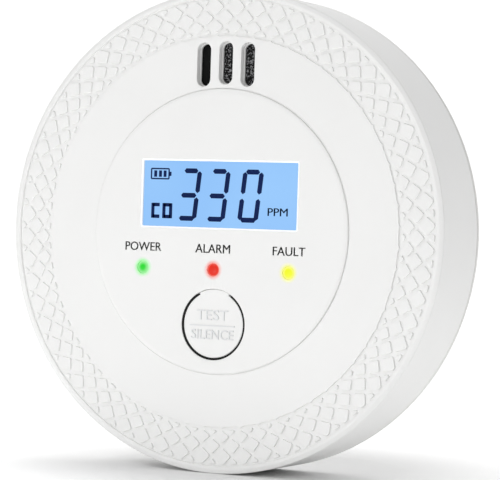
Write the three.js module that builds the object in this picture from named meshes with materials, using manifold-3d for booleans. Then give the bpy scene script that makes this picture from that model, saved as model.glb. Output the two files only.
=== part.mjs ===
// A round, battery-powered carbon monoxide detector on its twist-off wall bracket.
//
// Units are millimetres and z is up. The wall is the plane y = 0, with the origin at the
// centre of the bracket, and the detector faces -y. "Back" is the end of a piece nearer to
// the wall, and "front" is the end nearer to the room, so back is always the larger y.

import * as THREE from 'three';
import { mergeVertices } from 'three/addons/utils/BufferGeometryUtils.js';
import Module from 'manifold-3d';

const wasm = await Module();
wasm.setup();

// ---------------------------------------------------------------- driving sizes

const GAP = 0.3; // clearance between neighbouring pieces
const SMOOTH = 60; // sides of the large round pieces
const MEDIUM = 32; // sides of the sensor, the sounder and the button
const ROUND = 16; // sides of the small round pieces

const CASE_DIAMETER = 100;
const CASE_DEPTH = 20; // wall to the flat ring of the face
const SIDE_WALL = 2;
const FACE_WALL = 2.4;
const RIM_ROUND = 0.9;

const DISC_DIAMETER = 59; // raised disc in the middle of the face
const DISC_RISE = 0.5;
const DISC_SHOULDER = 1.6;
const DISC_FOOT = 0.12; // low step at the edge of the disc

const LCD_VIEW_WIDTH = 36.8;
const LCD_VIEW_HEIGHT = 14;
const LCD_CENTRE_Z = 7.4;
const LCD_BORDER = 1.6; // glass hidden behind the edge of its window
const LCD_LIP = 0.6; // face wall left in front of the glass
const GLASS_THICKNESS = 2.1;
const BACKLIGHT_THICKNESS = 1.3;
const STRIP_HEIGHT = 1.2; // rubber connector along the top of the glass

const LIGHT_SPACING = 17;
const LIGHT_X = -0.6; // the middle light
const LIGHT_Z = -7.95;
const LIGHT_RADIUS = 1.3;
const LIGHT_FLANGE_RADIUS = 2.1;
const LED_THICKNESS = 0.8;
const LED_WIDTH = 1.6;
const LED_HEIGHT = 2.4;

const BUTTON_DIAMETER = 13.8;
const BUTTON_X = -0.45;
const BUTTON_Z = -19.25;
const BUTTON_SLOT = 0.46; // width of the slot round the button
const BUTTON_THICKNESS = 1.6;
const BUTTON_WEB_HALF_ANGLE = 27; // degrees of plain wall each side of the hinge
const BUTTON_STEM_RADIUS = 1.6;
const SWITCH_SIZE = 5.2;
const SWITCH_THICKNESS = 1.1;
const PLUNGER_RADIUS = 1.1;
const PLUNGER_PLAY = 0.1; // round the plunger in its hole
const PLUNGER_DEPTH = 0.4; // how far the plunger reaches into the switch
const PLUNGER_REACH = 0.6; // how far the plunger stands out of the switch

const VENT_WIDTH = 3.1;
const VENT_HEIGHT = 9;
const VENT_PITCH = 5.1;
const VENT_X = 0.3; // the middle vent
const VENT_RADIUS = 34.8; // distance of the vents from the centre of the face
const VENT_COUNT = 3;
const FILTER_BORDER = 1.2;
const FILTER_THICKNESS = 0.6;

const BOARD_THICKNESS = 1;
const BOARD_MARGIN = 4; // board edge to the inside of the case
const BOARD_SCREW_INSET = 7; // board screws to the board edge
const BOARD_SCREW_ANGLES = [20, 160, 235, 305];
const BOARD_SCREW_RADIUS = 0.9;
const BOARD_SCREW_LENGTH = 3.2;
const BOARD_SCREW_HEAD_RADIUS = 1.9;
const BOARD_SCREW_HEAD = 1.1;
const BOARD_POST_RADIUS = 2.5;

const CASE_SCREW_ANGLES = [45, 135, 225, 315];
const CASE_SCREW_INSET = 7; // case screws to the outside of the case
const CASE_SCREW_RADIUS = 1.15;
const CASE_SCREW_LENGTH = 8;
const CASE_SCREW_HEAD_RADIUS = 2.4;
const CASE_SCREW_HEAD = 1.4;
const CASE_POST_RADIUS = 3;
const SCREW_BOSS_DEPTH = 2; // seat of a case screw below the rear plate

const CELL_DIAMETER = 10.5;
const CELL_LENGTH = 44.5;
const CELL_SPACING = 0.6;
const CELL_COUNT = 3;
const NUB_LENGTH = 1;
const NUB_RADIUS = 1.8;
const SPRING_LENGTH = 3.2;
const SPRING_WIRE = 0.5;
const SPRING_TURNS = 2.5;
const SPRING_WIDE_RADIUS = 3.2; // at the contact plate
const SPRING_NARROW_RADIUS = 2; // at the cell
const CONTACT_THICKNESS = 0.4;
const CONTACT_WIDTH = 8.4;
const CONTACT_TAIL_WIDTH = 1.8;

const WELL_WALL = 1;
const REAR_WALL = 1.5;
const DOOR_THICKNESS = 1.2;
const DOOR_LEDGE = 1.2; // ledge that the door lies on
const DOOR_SINK = 0.1; // door back below the hub back
const HUB_MARGIN = 2.2; // hub wall beyond the corners of the door
const HUB_STANDOFF = 0.4; // hub back to the wall
const HINGE_RADIUS = 1.2;
const HINGE_HALF_WIDTH = 20;
const HINGE_PEG_RADIUS = 0.8;
const HINGE_PEG_LENGTH = 1.8;
const LATCH_WIDTH = 10;
const LATCH_REACH = 2;

const BRACKET_THICKNESS = 2.4;
const FLANGE_THICKNESS = 1;
const FLANGE_STANDOFF = 0.8; // rear cover's rim to the wall
const RIM_RING = 1.4; // rear cover's ring inside the side wall
const LUG_COUNT = 3;
const LUG_START_ANGLE = 30;
const LUG_HALF_ANGLE = 7;
const LUG_REACH = 2.4;
const LUG_THICKNESS = 0.8;
const LUG_PLAY_ANGLE = 0.7;
const TWIST_ANGLE = 15; // turn that frees the detector
const WALL_SLOT_WIDTH = 3.8;
const WALL_SLOT_LENGTH = 9;
const WALL_SLOT_ANGLES = [0, 90, 180, 270];
const WALL_HEAD_MARGIN = 1.6; // relief round a wall screw's slot
const WALL_HEAD_RELIEF = 1.2;

const CHIP_SIZE = 7;
const CHIP_THICKNESS = 1;
const CHIP_PLACE = [27, -17]; // x and z
const CAPACITOR_RADIUS = 3.2;
const CAPACITOR_LENGTH = 8.3;
const CAPACITOR_PLACE = [-20, 29];
const COIL_RADIUS = 4;
const COIL_LENGTH = 6;
const COIL_PLACE = [20, 29];

const SENSOR_RADIUS = 8;
const SENSOR_HEIGHT = 9.5;
const SENSOR_Z = 33;
const SENSOR_FILTER_RADIUS = 4;
const SENSOR_FILTER_THICKNESS = 0.8;

const SOUNDER_RADIUS = 11;
const SOUNDER_HEIGHT = 8;
const SOUNDER_WALL = 1;
const SOUNDER_Z = -31;
const SOUND_HOLE_RADIUS = 2;
const PIEZO_THICKNESS = 0.4;
const PIEZO_LEDGE = 0.8;

// ---------------------------------------------------------------- worked-out places

const caseRadius = CASE_DIAMETER / 2;
const insideRadius = caseRadius - SIDE_WALL;
const faceY = -CASE_DEPTH;
const discY = faceY - DISC_RISE;
const insideY = faceY + FACE_WALL;

const lipY = discY + LCD_LIP;
const glassFront = lipY + GAP;
const glassBack = glassFront + GLASS_THICKNESS;
const backlightFront = glassBack + GAP;
const backlightBack = backlightFront + BACKLIGHT_THICKNESS;
const boardFront = backlightBack + GAP;
const boardBack = boardFront + BOARD_THICKNESS;
const boardRadius = insideRadius - BOARD_MARGIN;
const glassWidth = LCD_VIEW_WIDTH + 2 * LCD_BORDER;
const glassHeight = LCD_VIEW_HEIGHT + 2 * LCD_BORDER;

const hubBack = -HUB_STANDOFF;
const plateBack = -(BRACKET_THICKNESS + GAP);
const plateFront = plateBack - REAR_WALL;
const flangeBack = -FLANGE_STANDOFF;
const flangeFront = flangeBack - FLANGE_THICKNESS;
const sideWallBack = flangeFront - GAP;
const ringRadius = insideRadius - GAP;
const seatRadius = ringRadius - RIM_RING;

const doorBack = hubBack - DOOR_SINK;
const doorFront = doorBack - DOOR_THICKNESS;
const ledgeY = doorFront - GAP;
const cellPitch = CELL_DIAMETER + CELL_SPACING;
const cellAxisY = ledgeY - CELL_DIAMETER / 2 - GAP;
const wellHalfX = (CELL_LENGTH + SPRING_LENGTH) / 2 + CONTACT_THICKNESS + 2 * GAP;
const wellHalfZ = (CELL_COUNT * cellPitch) / 2;
const wellFront = cellAxisY - CELL_DIAMETER / 2 - GAP;
const doorSeatHalfX = wellHalfX + DOOR_LEDGE;
const doorSeatHalfZ = wellHalfZ + DOOR_LEDGE;
const hubRadius = Math.hypot(doorSeatHalfX, doorSeatHalfZ) + HUB_MARGIN;
const hingeZ = doorSeatHalfZ + HINGE_RADIUS;
const hingeY = doorBack - HINGE_RADIUS;
// The door's top corners start this far from the hinge, so that they swing past the hub.
const doorShoulder = Math.hypot(hingeZ - doorSeatHalfZ, hubBack - hingeY) + GAP / 2;

const bracketInner = hubRadius + GAP;
const bracketOuter = seatRadius - GAP;
const lugOuter = hubRadius + LUG_REACH;
const lugFront = hubBack - LUG_THICKNESS;
const wallSlotRadius = (lugOuter + GAP + bracketOuter) / 2;

const caseScrewRadius = caseRadius - CASE_SCREW_INSET;
const boardScrewRadius = boardRadius - BOARD_SCREW_INSET;
const bossFront = plateFront - SCREW_BOSS_DEPTH;
const postBack = bossFront - GAP;
const buttonRadius = BUTTON_DIAMETER / 2;
const buttonBack = discY + BUTTON_THICKNESS;
const switchBack = boardFront - GAP;
const switchFront = switchBack - SWITCH_THICKNESS;
const plungerFront = switchFront - PLUNGER_REACH;
const stemBack = plungerFront - GAP;

// ---------------------------------------------------------------- shape helpers

const radians = THREE.MathUtils.degToRad;

// The point at an angle (anticlockwise from +x as seen from the room) on a circle.
function onCircle(radius, degrees) {
  return [radius * Math.cos(radians(degrees)), radius * Math.sin(radians(degrees))];
}

// The largest angle between corners on a circle of this radius, in degrees.
function cornerStep(sides) {
  return 360 / sides;
}

// Turns a geometry into a solid: welds its corners, drops collapsed triangles and makes
// every face point outwards.
function toSolid(geometry) {
  const bare = geometry.clone();
  bare.deleteAttribute('normal');
  bare.deleteAttribute('uv');
  const welded = mergeVertices(bare, 1e-4);
  const corners = welded.index.array;
  const points = welded.attributes.position;
  const kept = [];
  for (let i = 0; i < corners.length; i += 3) {
    const [a, b, c] = corners.slice(i, i + 3);
    if (a !== b && b !== c && c !== a) kept.push([a, b, c]);
  }
  const [p, q, r] = [new THREE.Vector3(), new THREE.Vector3(), new THREE.Vector3()];
  let volume = 0;
  for (const [a, b, c] of kept) {
    p.fromBufferAttribute(points, a);
    q.fromBufferAttribute(points, b);
    r.fromBufferAttribute(points, c);
    volume += p.dot(q.cross(r)) / 6;
  }
  const facing = volume < 0 ? kept.map(([a, b, c]) => [a, c, b]) : kept;
  const triVerts = new Uint32Array(facing.flat());
  const vertProperties = new Float32Array(points.array);
  return new wasm.Manifold(new wasm.Mesh({ numProp: 3, vertProperties, triVerts }));
}

function join(first, ...others) {
  return others.reduce((whole, piece) => whole.add(piece), first);
}

function cut(solid, ...tools) {
  return tools.reduce((whole, tool) => whole.subtract(tool), solid);
}

// Extrudes an outline drawn in x and z from one depth to another.
function slab(outline, back, front, sides = ROUND) {
  const geometry = new THREE.ExtrudeGeometry(outline, {
    depth: back - front,
    bevelEnabled: false,
    curveSegments: sides,
  });
  geometry.rotateX(Math.PI / 2);
  geometry.translate(0, back, 0);
  return toSolid(geometry);
}

// Turns a profile of [radius, y] points about the y axis.
function turned(profile, sides = ROUND) {
  const points = profile.map(([radius, y]) => new THREE.Vector2(radius, y));
  return toSolid(new THREE.LatheGeometry(points, sides));
}

// A round bar along y.
function disc(radius, back, front, x = 0, z = 0, sides = ROUND) {
  const geometry = new THREE.CylinderGeometry(radius, radius, back - front, sides);
  geometry.translate(x, (back + front) / 2, z);
  return toSolid(geometry);
}

// A round bar along x.
function bar(radius, left, right, y, z, sides = ROUND) {
  const geometry = new THREE.CylinderGeometry(radius, radius, right - left, sides);
  geometry.rotateZ(Math.PI / 2);
  geometry.translate((left + right) / 2, y, z);
  return toSolid(geometry);
}

// A box between two x, two y (back and front) and two z values.
function block(left, right, back, front, bottom, top) {
  const geometry = new THREE.BoxGeometry(right - left, back - front, top - bottom);
  geometry.translate((left + right) / 2, (back + front) / 2, (bottom + top) / 2);
  return toSolid(geometry);
}

// The outline of a sector of a ring. Its corners lie on whole steps of a large round piece
// where they can, and its curved sides follow the same facets.
function arcBand(inner, outer, from, to) {
  const steps = Math.max(2, Math.ceil((to - from) / cornerStep(SMOOTH)));
  const outline = new THREE.Shape();
  for (let i = 0; i <= steps; i += 1) {
    const point = onCircle(outer, from + ((to - from) * i) / steps);
    if (i === 0) outline.moveTo(...point);
    else outline.lineTo(...point);
  }
  for (let i = steps; i >= 0; i -= 1) {
    outline.lineTo(...onCircle(inner, from + ((to - from) * i) / steps));
  }
  outline.closePath();
  return outline;
}

// The outline of a slot with round ends, standing up or lying down.
function slotOutline(width, height, x, z) {
  const radius = Math.min(width, height) / 2;
  const alongX = width / 2 - radius;
  const alongZ = height / 2 - radius;
  const outline = new THREE.Shape();
  const turn = height > width ? 0 : -Math.PI / 2;
  outline.absarc(x + alongX, z + alongZ, radius, turn, turn + Math.PI, false);
  outline.absarc(x - alongX, z - alongZ, radius, turn + Math.PI, turn + 2 * Math.PI, false);
  outline.closePath();
  return outline;
}

// ---------------------------------------------------------------- finishes

function finish(color, roughness, metalness = 0, opacity = 1) {
  return { color, roughness, metalness, opacity, transparent: opacity < 1 };
}

const whiteAbs = finish(0xefefee, 0.5);
const tinPlate = finish(0xc9ccd0, 0.3, 1);
const steel = finish(0xb5b8bc, 0.35, 1);

const model = new THREE.Group();

// Adds a solid to a group as a named mesh with a material of its own.
function addMesh(group, name, solid, look, x = 0, y = 0, z = 0) {
  const { vertProperties, triVerts } = solid.getMesh();
  const geometry = new THREE.BufferGeometry();
  geometry.setAttribute('position', new THREE.BufferAttribute(vertProperties, 3));
  geometry.setIndex(new THREE.BufferAttribute(triVerts, 1));
  geometry.computeVertexNormals();
  const mesh = new THREE.Mesh(geometry, new THREE.MeshStandardMaterial(look));
  mesh.name = name;
  mesh.position.set(x, y, z);
  group.add(mesh);
  return mesh;
}

// ---------------------------------------------------------------- wall bracket

// A flat ring with a ledge for the detector's lugs and four slots for wall screws.
function makeBracket() {
  const ring = new THREE.Shape();
  ring.absarc(0, 0, bracketOuter, 0, 2 * Math.PI, false);
  const hole = new THREE.Path();
  hole.absarc(0, 0, bracketInner, 0, 2 * Math.PI, true);
  ring.holes.push(hole);
  const pocketFront = lugFront - GAP;
  const pocketOuter = lugOuter + GAP;
  const margin = LUG_HALF_ANGLE + LUG_PLAY_ANGLE;
  const tools = [];
  for (let i = 0; i < LUG_COUNT; i += 1) {
    const locked = LUG_START_ANGLE + (i * 360) / LUG_COUNT;
    const free = locked + TWIST_ANGLE;
    const pocket = arcBand(bracketInner - 1, pocketOuter, locked - margin, free + margin);
    tools.push(slab(pocket, 1, pocketFront));
    const entry = arcBand(bracketInner - 1, pocketOuter, free - margin, free + margin);
    tools.push(slab(entry, 1, -BRACKET_THICKNESS - 1));
  }
  for (const angle of WALL_SLOT_ANGLES) {
    const [x, z] = onCircle(wallSlotRadius, angle);
    const upright = angle % 180 === 0;
    const size = (width, length) => (upright ? [width, length] : [length, width]);
    const slot = slotOutline(...size(WALL_SLOT_WIDTH, WALL_SLOT_LENGTH), x, z);
    tools.push(slab(slot, 1, -BRACKET_THICKNESS - 1, 8));
    const wide = WALL_SLOT_WIDTH + 2 * WALL_HEAD_MARGIN;
    const long = WALL_SLOT_LENGTH + 2 * WALL_HEAD_MARGIN;
    const relief = slotOutline(...size(wide, long), x, z);
    tools.push(slab(relief, WALL_HEAD_RELIEF - BRACKET_THICKNESS, -BRACKET_THICKNESS - 1, 8));
  }
  return cut(slab(ring, 0, -BRACKET_THICKNESS, SMOOTH / 2), ...tools);
}

addMesh(model, 'mounting_bracket', makeBracket(), whiteAbs);

// ---------------------------------------------------------------- rear cover and door

// The rear cover: a plate with a rim flange, a hub that fills the bracket's opening, three
// locking lugs, the battery well and four screw seats.
function makeRearCover() {
  const shell = turned([
    [0, hubBack],
    [hubRadius, hubBack],
    [hubRadius, plateBack],
    [seatRadius, plateBack],
    [seatRadius, flangeBack],
    [caseRadius, flangeBack],
    [caseRadius, flangeFront],
    [ringRadius, flangeFront],
    [ringRadius, plateFront],
    [0, plateFront],
  ], SMOOTH);
  const outerX = wellHalfX + WELL_WALL;
  const outerZ = wellHalfZ + WELL_WALL;
  const well = block(-outerX, outerX, plateFront + 0.5, wellFront - WELL_WALL, -outerZ, outerZ);
  const lugs = [];
  for (let i = 0; i < LUG_COUNT; i += 1) {
    const middle = LUG_START_ANGLE + (i * 360) / LUG_COUNT;
    const band = arcBand(hubRadius - 1, lugOuter, middle - LUG_HALF_ANGLE, middle + LUG_HALF_ANGLE);
    lugs.push(slab(band, hubBack, lugFront));
  }
  const seats = [];
  const holes = [];
  for (const angle of CASE_SCREW_ANGLES) {
    const [x, z] = onCircle(caseScrewRadius, angle);
    const headRadius = CASE_SCREW_HEAD_RADIUS + GAP;
    seats.push(disc(headRadius + 1, plateFront + 0.5, bossFront, x, z));
    holes.push(disc(headRadius, plateBack + 1, bossFront + 1, x, z));
    holes.push(disc(CASE_SCREW_RADIUS + GAP, plateBack, bossFront - 1, x, z));
  }
  const cavity = block(-wellHalfX, wellHalfX, 1, wellFront, -wellHalfZ, wellHalfZ);
  const rebate = block(-doorSeatHalfX, doorSeatHalfX, 1, ledgeY, -doorSeatHalfZ, doorSeatHalfZ);
  const hingeHalf = HINGE_HALF_WIDTH + GAP;
  const hingeTop = hingeZ + HINGE_RADIUS + 2 * GAP;
  const hingeFront = hingeY - HINGE_RADIUS - GAP;
  const hingeSlot = block(-hingeHalf, hingeHalf, 1, hingeFront, doorSeatHalfZ - GAP, hingeTop);
  const socketEnd = hingeHalf + HINGE_PEG_LENGTH;
  const socket = bar(HINGE_PEG_RADIUS + GAP, -socketEnd, socketEnd, hingeY, hingeZ);
  const latchHalf = LATCH_WIDTH / 2 + 2 * GAP;
  const latchBottom = -doorSeatHalfZ - LATCH_REACH - GAP;
  const latchSlot = block(-latchHalf, latchHalf, 1, ledgeY, latchBottom, 0);
  const tails = [];
  for (const [x, z] of contactTails()) {
    tails.push(tailSlot(x, z, wellFront + 1, wellFront - WELL_WALL - 1));
  }
  const body = join(shell, well, ...lugs, ...seats);
  return cut(body, ...holes, cavity, rebate, hingeSlot, socket, latchSlot, ...tails);
}

// The battery door, hinged on two pegs along its top edge, with a finger tab at the bottom.
function makeDoor() {
  const halfX = doorSeatHalfX - GAP;
  const halfZ = doorSeatHalfZ - GAP;
  const plate = block(-halfX, halfX, doorBack, doorFront, -halfZ, hingeZ - doorShoulder);
  const hingeHalf = HINGE_HALF_WIDTH;
  const neck = block(-hingeHalf, hingeHalf, doorBack, doorFront, 0, hingeZ);
  const barrel = bar(HINGE_RADIUS, -hingeHalf, hingeHalf, hingeY, hingeZ);
  const pegEnd = hingeHalf + HINGE_PEG_LENGTH;
  const pegs = bar(HINGE_PEG_RADIUS, -pegEnd, pegEnd, hingeY, hingeZ);
  const tabHalf = LATCH_WIDTH / 2;
  const tab = block(-tabHalf, tabHalf, doorBack, doorFront, -halfZ - LATCH_REACH, 0);
  return join(plate, neck, barrel, pegs, tab);
}

// ---------------------------------------------------------------- batteries and contacts

// A cell lies along x. Its plus end is to the right (+1) or to the left (-1), and the
// cells alternate so that they connect in series.
function cellPlace(index) {
  const z = (index - (CELL_COUNT - 1) / 2) * cellPitch;
  const plusSide = index % 2 === 0 ? 1 : -1;
  return { z, plusSide };
}

function makeCell(plusSide) {
  const radius = CELL_DIAMETER / 2;
  const bodyLength = CELL_LENGTH - NUB_LENGTH;
  const profile = [
    [0, 0],
    [radius - 0.5, 0],
    [radius, 0.5],
    [radius, bodyLength - 0.5],
    [radius - 0.5, bodyLength],
    [NUB_RADIUS, bodyLength],
    [NUB_RADIUS, CELL_LENGTH],
    [0, CELL_LENGTH],
  ];
  const points = profile.map(([r, along]) => new THREE.Vector2(r, along));
  const geometry = new THREE.LatheGeometry(points, ROUND);
  geometry.rotateZ(-plusSide * (Math.PI / 2));
  return toSolid(geometry);
}

// Where the flat part of a contact plate starts, measured from the middle of the well.
const contactInnerX = wellHalfX - GAP - CONTACT_THICKNESS;

// The solder tails of the two end contacts, as [x, z] places.
function contactTails() {
  const x = contactInnerX + CONTACT_THICKNESS / 2;
  const z = cellPlace(CELL_COUNT - 1).z;
  return [[x, z], [-x, -z]];
}

// The clearance hole for one solder tail.
function tailSlot(x, z, back, front) {
  const halfX = CONTACT_THICKNESS / 2 + GAP;
  const halfZ = CONTACT_TAIL_WIDTH / 2 + GAP;
  return block(x - halfX, x + halfX, back, front, z - halfZ, z + halfZ);
}

// A contact plate across one cell or two, on one side of the well.
function makeContact(side, lowZ, highZ, hasTail) {
  const half = CONTACT_WIDTH / 2;
  const inner = side * contactInnerX;
  const outer = side * (contactInnerX + CONTACT_THICKNESS);
  const [left, right] = [Math.min(inner, outer), Math.max(inner, outer)];
  const plateFrontY = wellFront + GAP;
  const plate = block(left, right, cellAxisY + half, plateFrontY, lowZ - half, highZ + half);
  if (!hasTail) return plate;
  const tailHalf = CONTACT_TAIL_WIDTH / 2;
  const tailEnd = boardFront - GAP;
  const tail = block(left, right, plateFrontY + 1, tailEnd, lowZ - tailHalf, lowZ + tailHalf);
  return join(plate, tail);
}

// A conical battery spring: the wire climbs from the contact plate towards the cell.
class SpringCurve extends THREE.Curve {
  getPoint(t, target = new THREE.Vector3()) {
    const angle = 2 * Math.PI * SPRING_TURNS * t;
    const radius = THREE.MathUtils.lerp(SPRING_WIDE_RADIUS, SPRING_NARROW_RADIUS, t);
    const along = SPRING_WIRE / 2 + (SPRING_LENGTH - SPRING_WIRE) * t;
    return target.set(along, radius * Math.cos(angle), radius * Math.sin(angle));
  }
}

function makeSpring(direction) {
  const section = new THREE.Shape();
  section.absarc(0, 0, SPRING_WIRE / 2, 0, 2 * Math.PI, false);
  const geometry = new THREE.ExtrudeGeometry(section, {
    steps: 30,
    curveSegments: 3,
    extrudePath: new SpringCurve(),
  });
  if (direction < 0) geometry.rotateZ(Math.PI);
  return toSolid(geometry);
}

// ---------------------------------------------------------------- front cover and button

// The front cover: face and side wall in one piece, with the raised disc, the window for
// the display, three holes for the lights, the button's slot, the vents and the posts.
function makeFrontCover() {
  const discRadius = DISC_DIAMETER / 2;
  const rim = [];
  for (let i = 0; i <= 2; i += 1) {
    const turn = radians(45 * i);
    rim.push([
      caseRadius - RIM_ROUND * (1 - Math.sin(turn)),
      faceY + RIM_ROUND * (1 - Math.cos(turn)),
    ]);
  }
  const shell = turned([
    [0, discY],
    [discRadius - DISC_SHOULDER, discY],
    [discRadius, faceY - DISC_FOOT],
    [discRadius, faceY],
    ...rim,
    [caseRadius, sideWallBack],
    [insideRadius, sideWallBack],
    [insideRadius, insideY],
    [0, insideY],
  ], SMOOTH);
  const posts = [];
  const holes = [];
  for (const angle of CASE_SCREW_ANGLES) {
    const [x, z] = onCircle(caseScrewRadius, angle);
    posts.push(disc(CASE_POST_RADIUS, postBack, insideY - 1, x, z));
    const screwEnd = bossFront + 1 - CASE_SCREW_LENGTH;
    holes.push(disc(CASE_SCREW_RADIUS + GAP, postBack + 1, screwEnd - 1, x, z));
  }
  for (const angle of BOARD_SCREW_ANGLES) {
    const [x, z] = onCircle(boardScrewRadius, angle);
    posts.push(disc(BOARD_POST_RADIUS, boardFront - GAP, insideY - 1, x, z));
    holes.push(disc(BOARD_SCREW_RADIUS + GAP, boardFront, faceY + 1, x, z));
  }
  const halfView = LCD_VIEW_WIDTH / 2;
  const viewBottom = LCD_CENTRE_Z - LCD_VIEW_HEIGHT / 2;
  const viewTop = LCD_CENTRE_Z + LCD_VIEW_HEIGHT / 2;
  const window = block(-halfView, halfView, 0, discY - 1, viewBottom, viewTop);
  const seatHalf = glassWidth / 2 + GAP;
  const seatBottom = LCD_CENTRE_Z - glassHeight / 2 - GAP;
  const seatTop = LCD_CENTRE_Z + glassHeight / 2 + GAP;
  const seat = block(-seatHalf, seatHalf, 0, lipY, seatBottom, seatTop);
  const lights = lightPlaces().map((x) => disc(LIGHT_RADIUS + GAP, 0, discY - 1, x, LIGHT_Z));
  const vents = ventPlaces().map(([x, z]) => slab(
    slotOutline(VENT_WIDTH, VENT_HEIGHT, x, z), 0, faceY - 1, 6,
  ));
  const holeRadius = buttonRadius + BUTTON_SLOT;
  const button = disc(holeRadius, 0, discY - 1, BUTTON_X, BUTTON_Z, MEDIUM);
  const body = cut(join(shell, ...posts), ...holes, window, seat, ...lights, ...vents, button);
  return join(body, makeButtonWeb());
}

// The short stretch of wall at the top of the button, where the button's hinge is.
function makeButtonWeb() {
  const from = 90 - BUTTON_WEB_HALF_ANGLE;
  const to = 90 + BUTTON_WEB_HALF_ANGLE;
  const band = arcBand(buttonRadius + GAP, buttonRadius + BUTTON_SLOT + 0.4, from, to);
  return slab(band, insideY, discY).translate(BUTTON_X, 0, BUTTON_Z);
}

// The button's cap, with a stem behind it that meets the switch.
function makeButton() {
  const cap = turned([
    [0, discY],
    [buttonRadius - 0.2, discY],
    [buttonRadius, discY + 0.2],
    [buttonRadius, buttonBack],
    [BUTTON_STEM_RADIUS, buttonBack],
    [BUTTON_STEM_RADIUS, stemBack],
    [0, stemBack],
  ], MEDIUM);
  return cap.translate(BUTTON_X, 0, BUTTON_Z);
}

// The x places of the three indicator lights.
function lightPlaces() {
  return [LIGHT_X - LIGHT_SPACING, LIGHT_X, LIGHT_X + LIGHT_SPACING];
}

// The centres of the vents, upright slots side by side on an arc about the face's centre.
function ventPlaces() {
  const places = [];
  for (let i = 0; i < VENT_COUNT; i += 1) {
    const x = VENT_X + (i - (VENT_COUNT - 1) / 2) * VENT_PITCH;
    places.push([x, Math.sqrt(VENT_RADIUS ** 2 - x ** 2)]);
  }
  return places;
}

// ---------------------------------------------------------------- board and what it carries

function makeBoard() {
  const tools = [];
  for (const angle of CASE_SCREW_ANGLES) {
    const [x, z] = onCircle(caseScrewRadius, angle);
    tools.push(disc(CASE_POST_RADIUS + GAP, boardBack + 1, boardFront - 1, x, z));
  }
  for (const angle of BOARD_SCREW_ANGLES) {
    const [x, z] = onCircle(boardScrewRadius, angle);
    tools.push(disc(BOARD_SCREW_RADIUS + GAP, boardBack + 1, boardFront - 1, x, z));
  }
  tools.push(disc(SENSOR_FILTER_RADIUS + GAP, boardBack + 1, boardFront - 1, 0, SENSOR_Z));
  tools.push(disc(SOUND_HOLE_RADIUS, boardBack + 1, boardFront - 1, 0, SOUNDER_Z));
  for (const [x, z] of contactTails()) {
    tools.push(tailSlot(x, z, boardBack + 1, boardFront - 1));
  }
  return cut(disc(boardRadius, boardBack, boardFront, 0, 0, SMOOTH), ...tools);
}

// A screw along y, built with the seat of its head at the origin and its tip to the front.
function makeScrew(radius, length, headRadius, headHeight) {
  const shank = turned([
    [0, headHeight],
    [headRadius * 0.75, headHeight],
    [headRadius, headHeight * 0.5],
    [headRadius, 0],
    [radius, 0],
    [radius, -length + radius],
    [0, -length],
  ], 12);
  const slotHalf = headRadius * 0.55;
  const bite = headHeight * 0.55;
  const cross = [[slotHalf, 0.3], [0.3, slotHalf]].map(([x, z]) => (
    block(-x, x, headHeight + 1, headHeight - bite, -z, z)
  ));
  return cut(shank, ...cross);
}

// The sounder's case: a shallow cup with its open end to the back and a sound hole in
// front, and a ledge that the piezo disc lies on.
function makeSounderCase(back, front) {
  const inner = SOUNDER_RADIUS - SOUNDER_WALL;
  const ledge = back - PIEZO_THICKNESS - 2 * GAP;
  return turned([
    [SOUND_HOLE_RADIUS, front],
    [SOUNDER_RADIUS, front],
    [SOUNDER_RADIUS, back],
    [inner, back],
    [inner, ledge],
    [inner - PIEZO_LEDGE, ledge],
    [inner - PIEZO_LEDGE, front + SOUNDER_WALL],
    [SOUND_HOLE_RADIUS, front + SOUNDER_WALL],
    [SOUND_HOLE_RADIUS, front],
  ], MEDIUM);
}

// The switch under the button, with a round hole that its plunger slides in.
function makeSwitch() {
  const half = SWITCH_SIZE / 2;
  const body = block(-half, half, switchBack, switchFront, -half, half);
  const hole = disc(PLUNGER_RADIUS + PLUNGER_PLAY, switchBack - GAP, switchFront - 1);
  return cut(body, hole).translate(BUTTON_X, 0, BUTTON_Z);
}

// A clear light pipe: a rod that ends flush with the disc, with a flange behind the wall.
function makeLightPipe() {
  const rodBack = switchFront;
  return turned([
    [0, discY],
    [LIGHT_RADIUS - 0.2, discY],
    [LIGHT_RADIUS, discY + 0.2],
    [LIGHT_RADIUS, insideY + GAP],
    [LIGHT_FLANGE_RADIUS, insideY + GAP],
    [LIGHT_FLANGE_RADIUS, rodBack],
    [0, rodBack],
  ]);
}

// ---------------------------------------------------------------- the detector

const detector = new THREE.Group();
model.add(detector);

addMesh(detector, 'front_cover', makeFrontCover(), whiteAbs);
addMesh(detector, 'test_button', makeButton(), whiteAbs);
addMesh(detector, 'rear_cover', makeRearCover(), whiteAbs);
addMesh(detector, 'battery_door', makeDoor(), whiteAbs);

// Display: glass, backlight behind it, and the rubber strip that connects it to the board.
const glassBottom = LCD_CENTRE_Z - glassHeight / 2;
const glassTop = LCD_CENTRE_Z + glassHeight / 2;
const stripBottom = glassTop - STRIP_HEIGHT;
const glass = block(-glassWidth / 2, glassWidth / 2, glassBack, glassFront, glassBottom, glassTop);
const backlight = block(
  -glassWidth / 2, glassWidth / 2, backlightBack, backlightFront, glassBottom, stripBottom - GAP,
);
const strip = block(
  1 - glassWidth / 2, glassWidth / 2 - 1, backlightBack, backlightFront, stripBottom, glassTop,
);
addMesh(detector, 'lcd_glass', glass, finish(0x9cc6ff, 0.15));
addMesh(detector, 'lcd_backlight', backlight, finish(0xdfe9ff, 0.4));
addMesh(detector, 'lcd_connector_strip', strip, finish(0x2b2b2d, 0.8));

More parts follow.
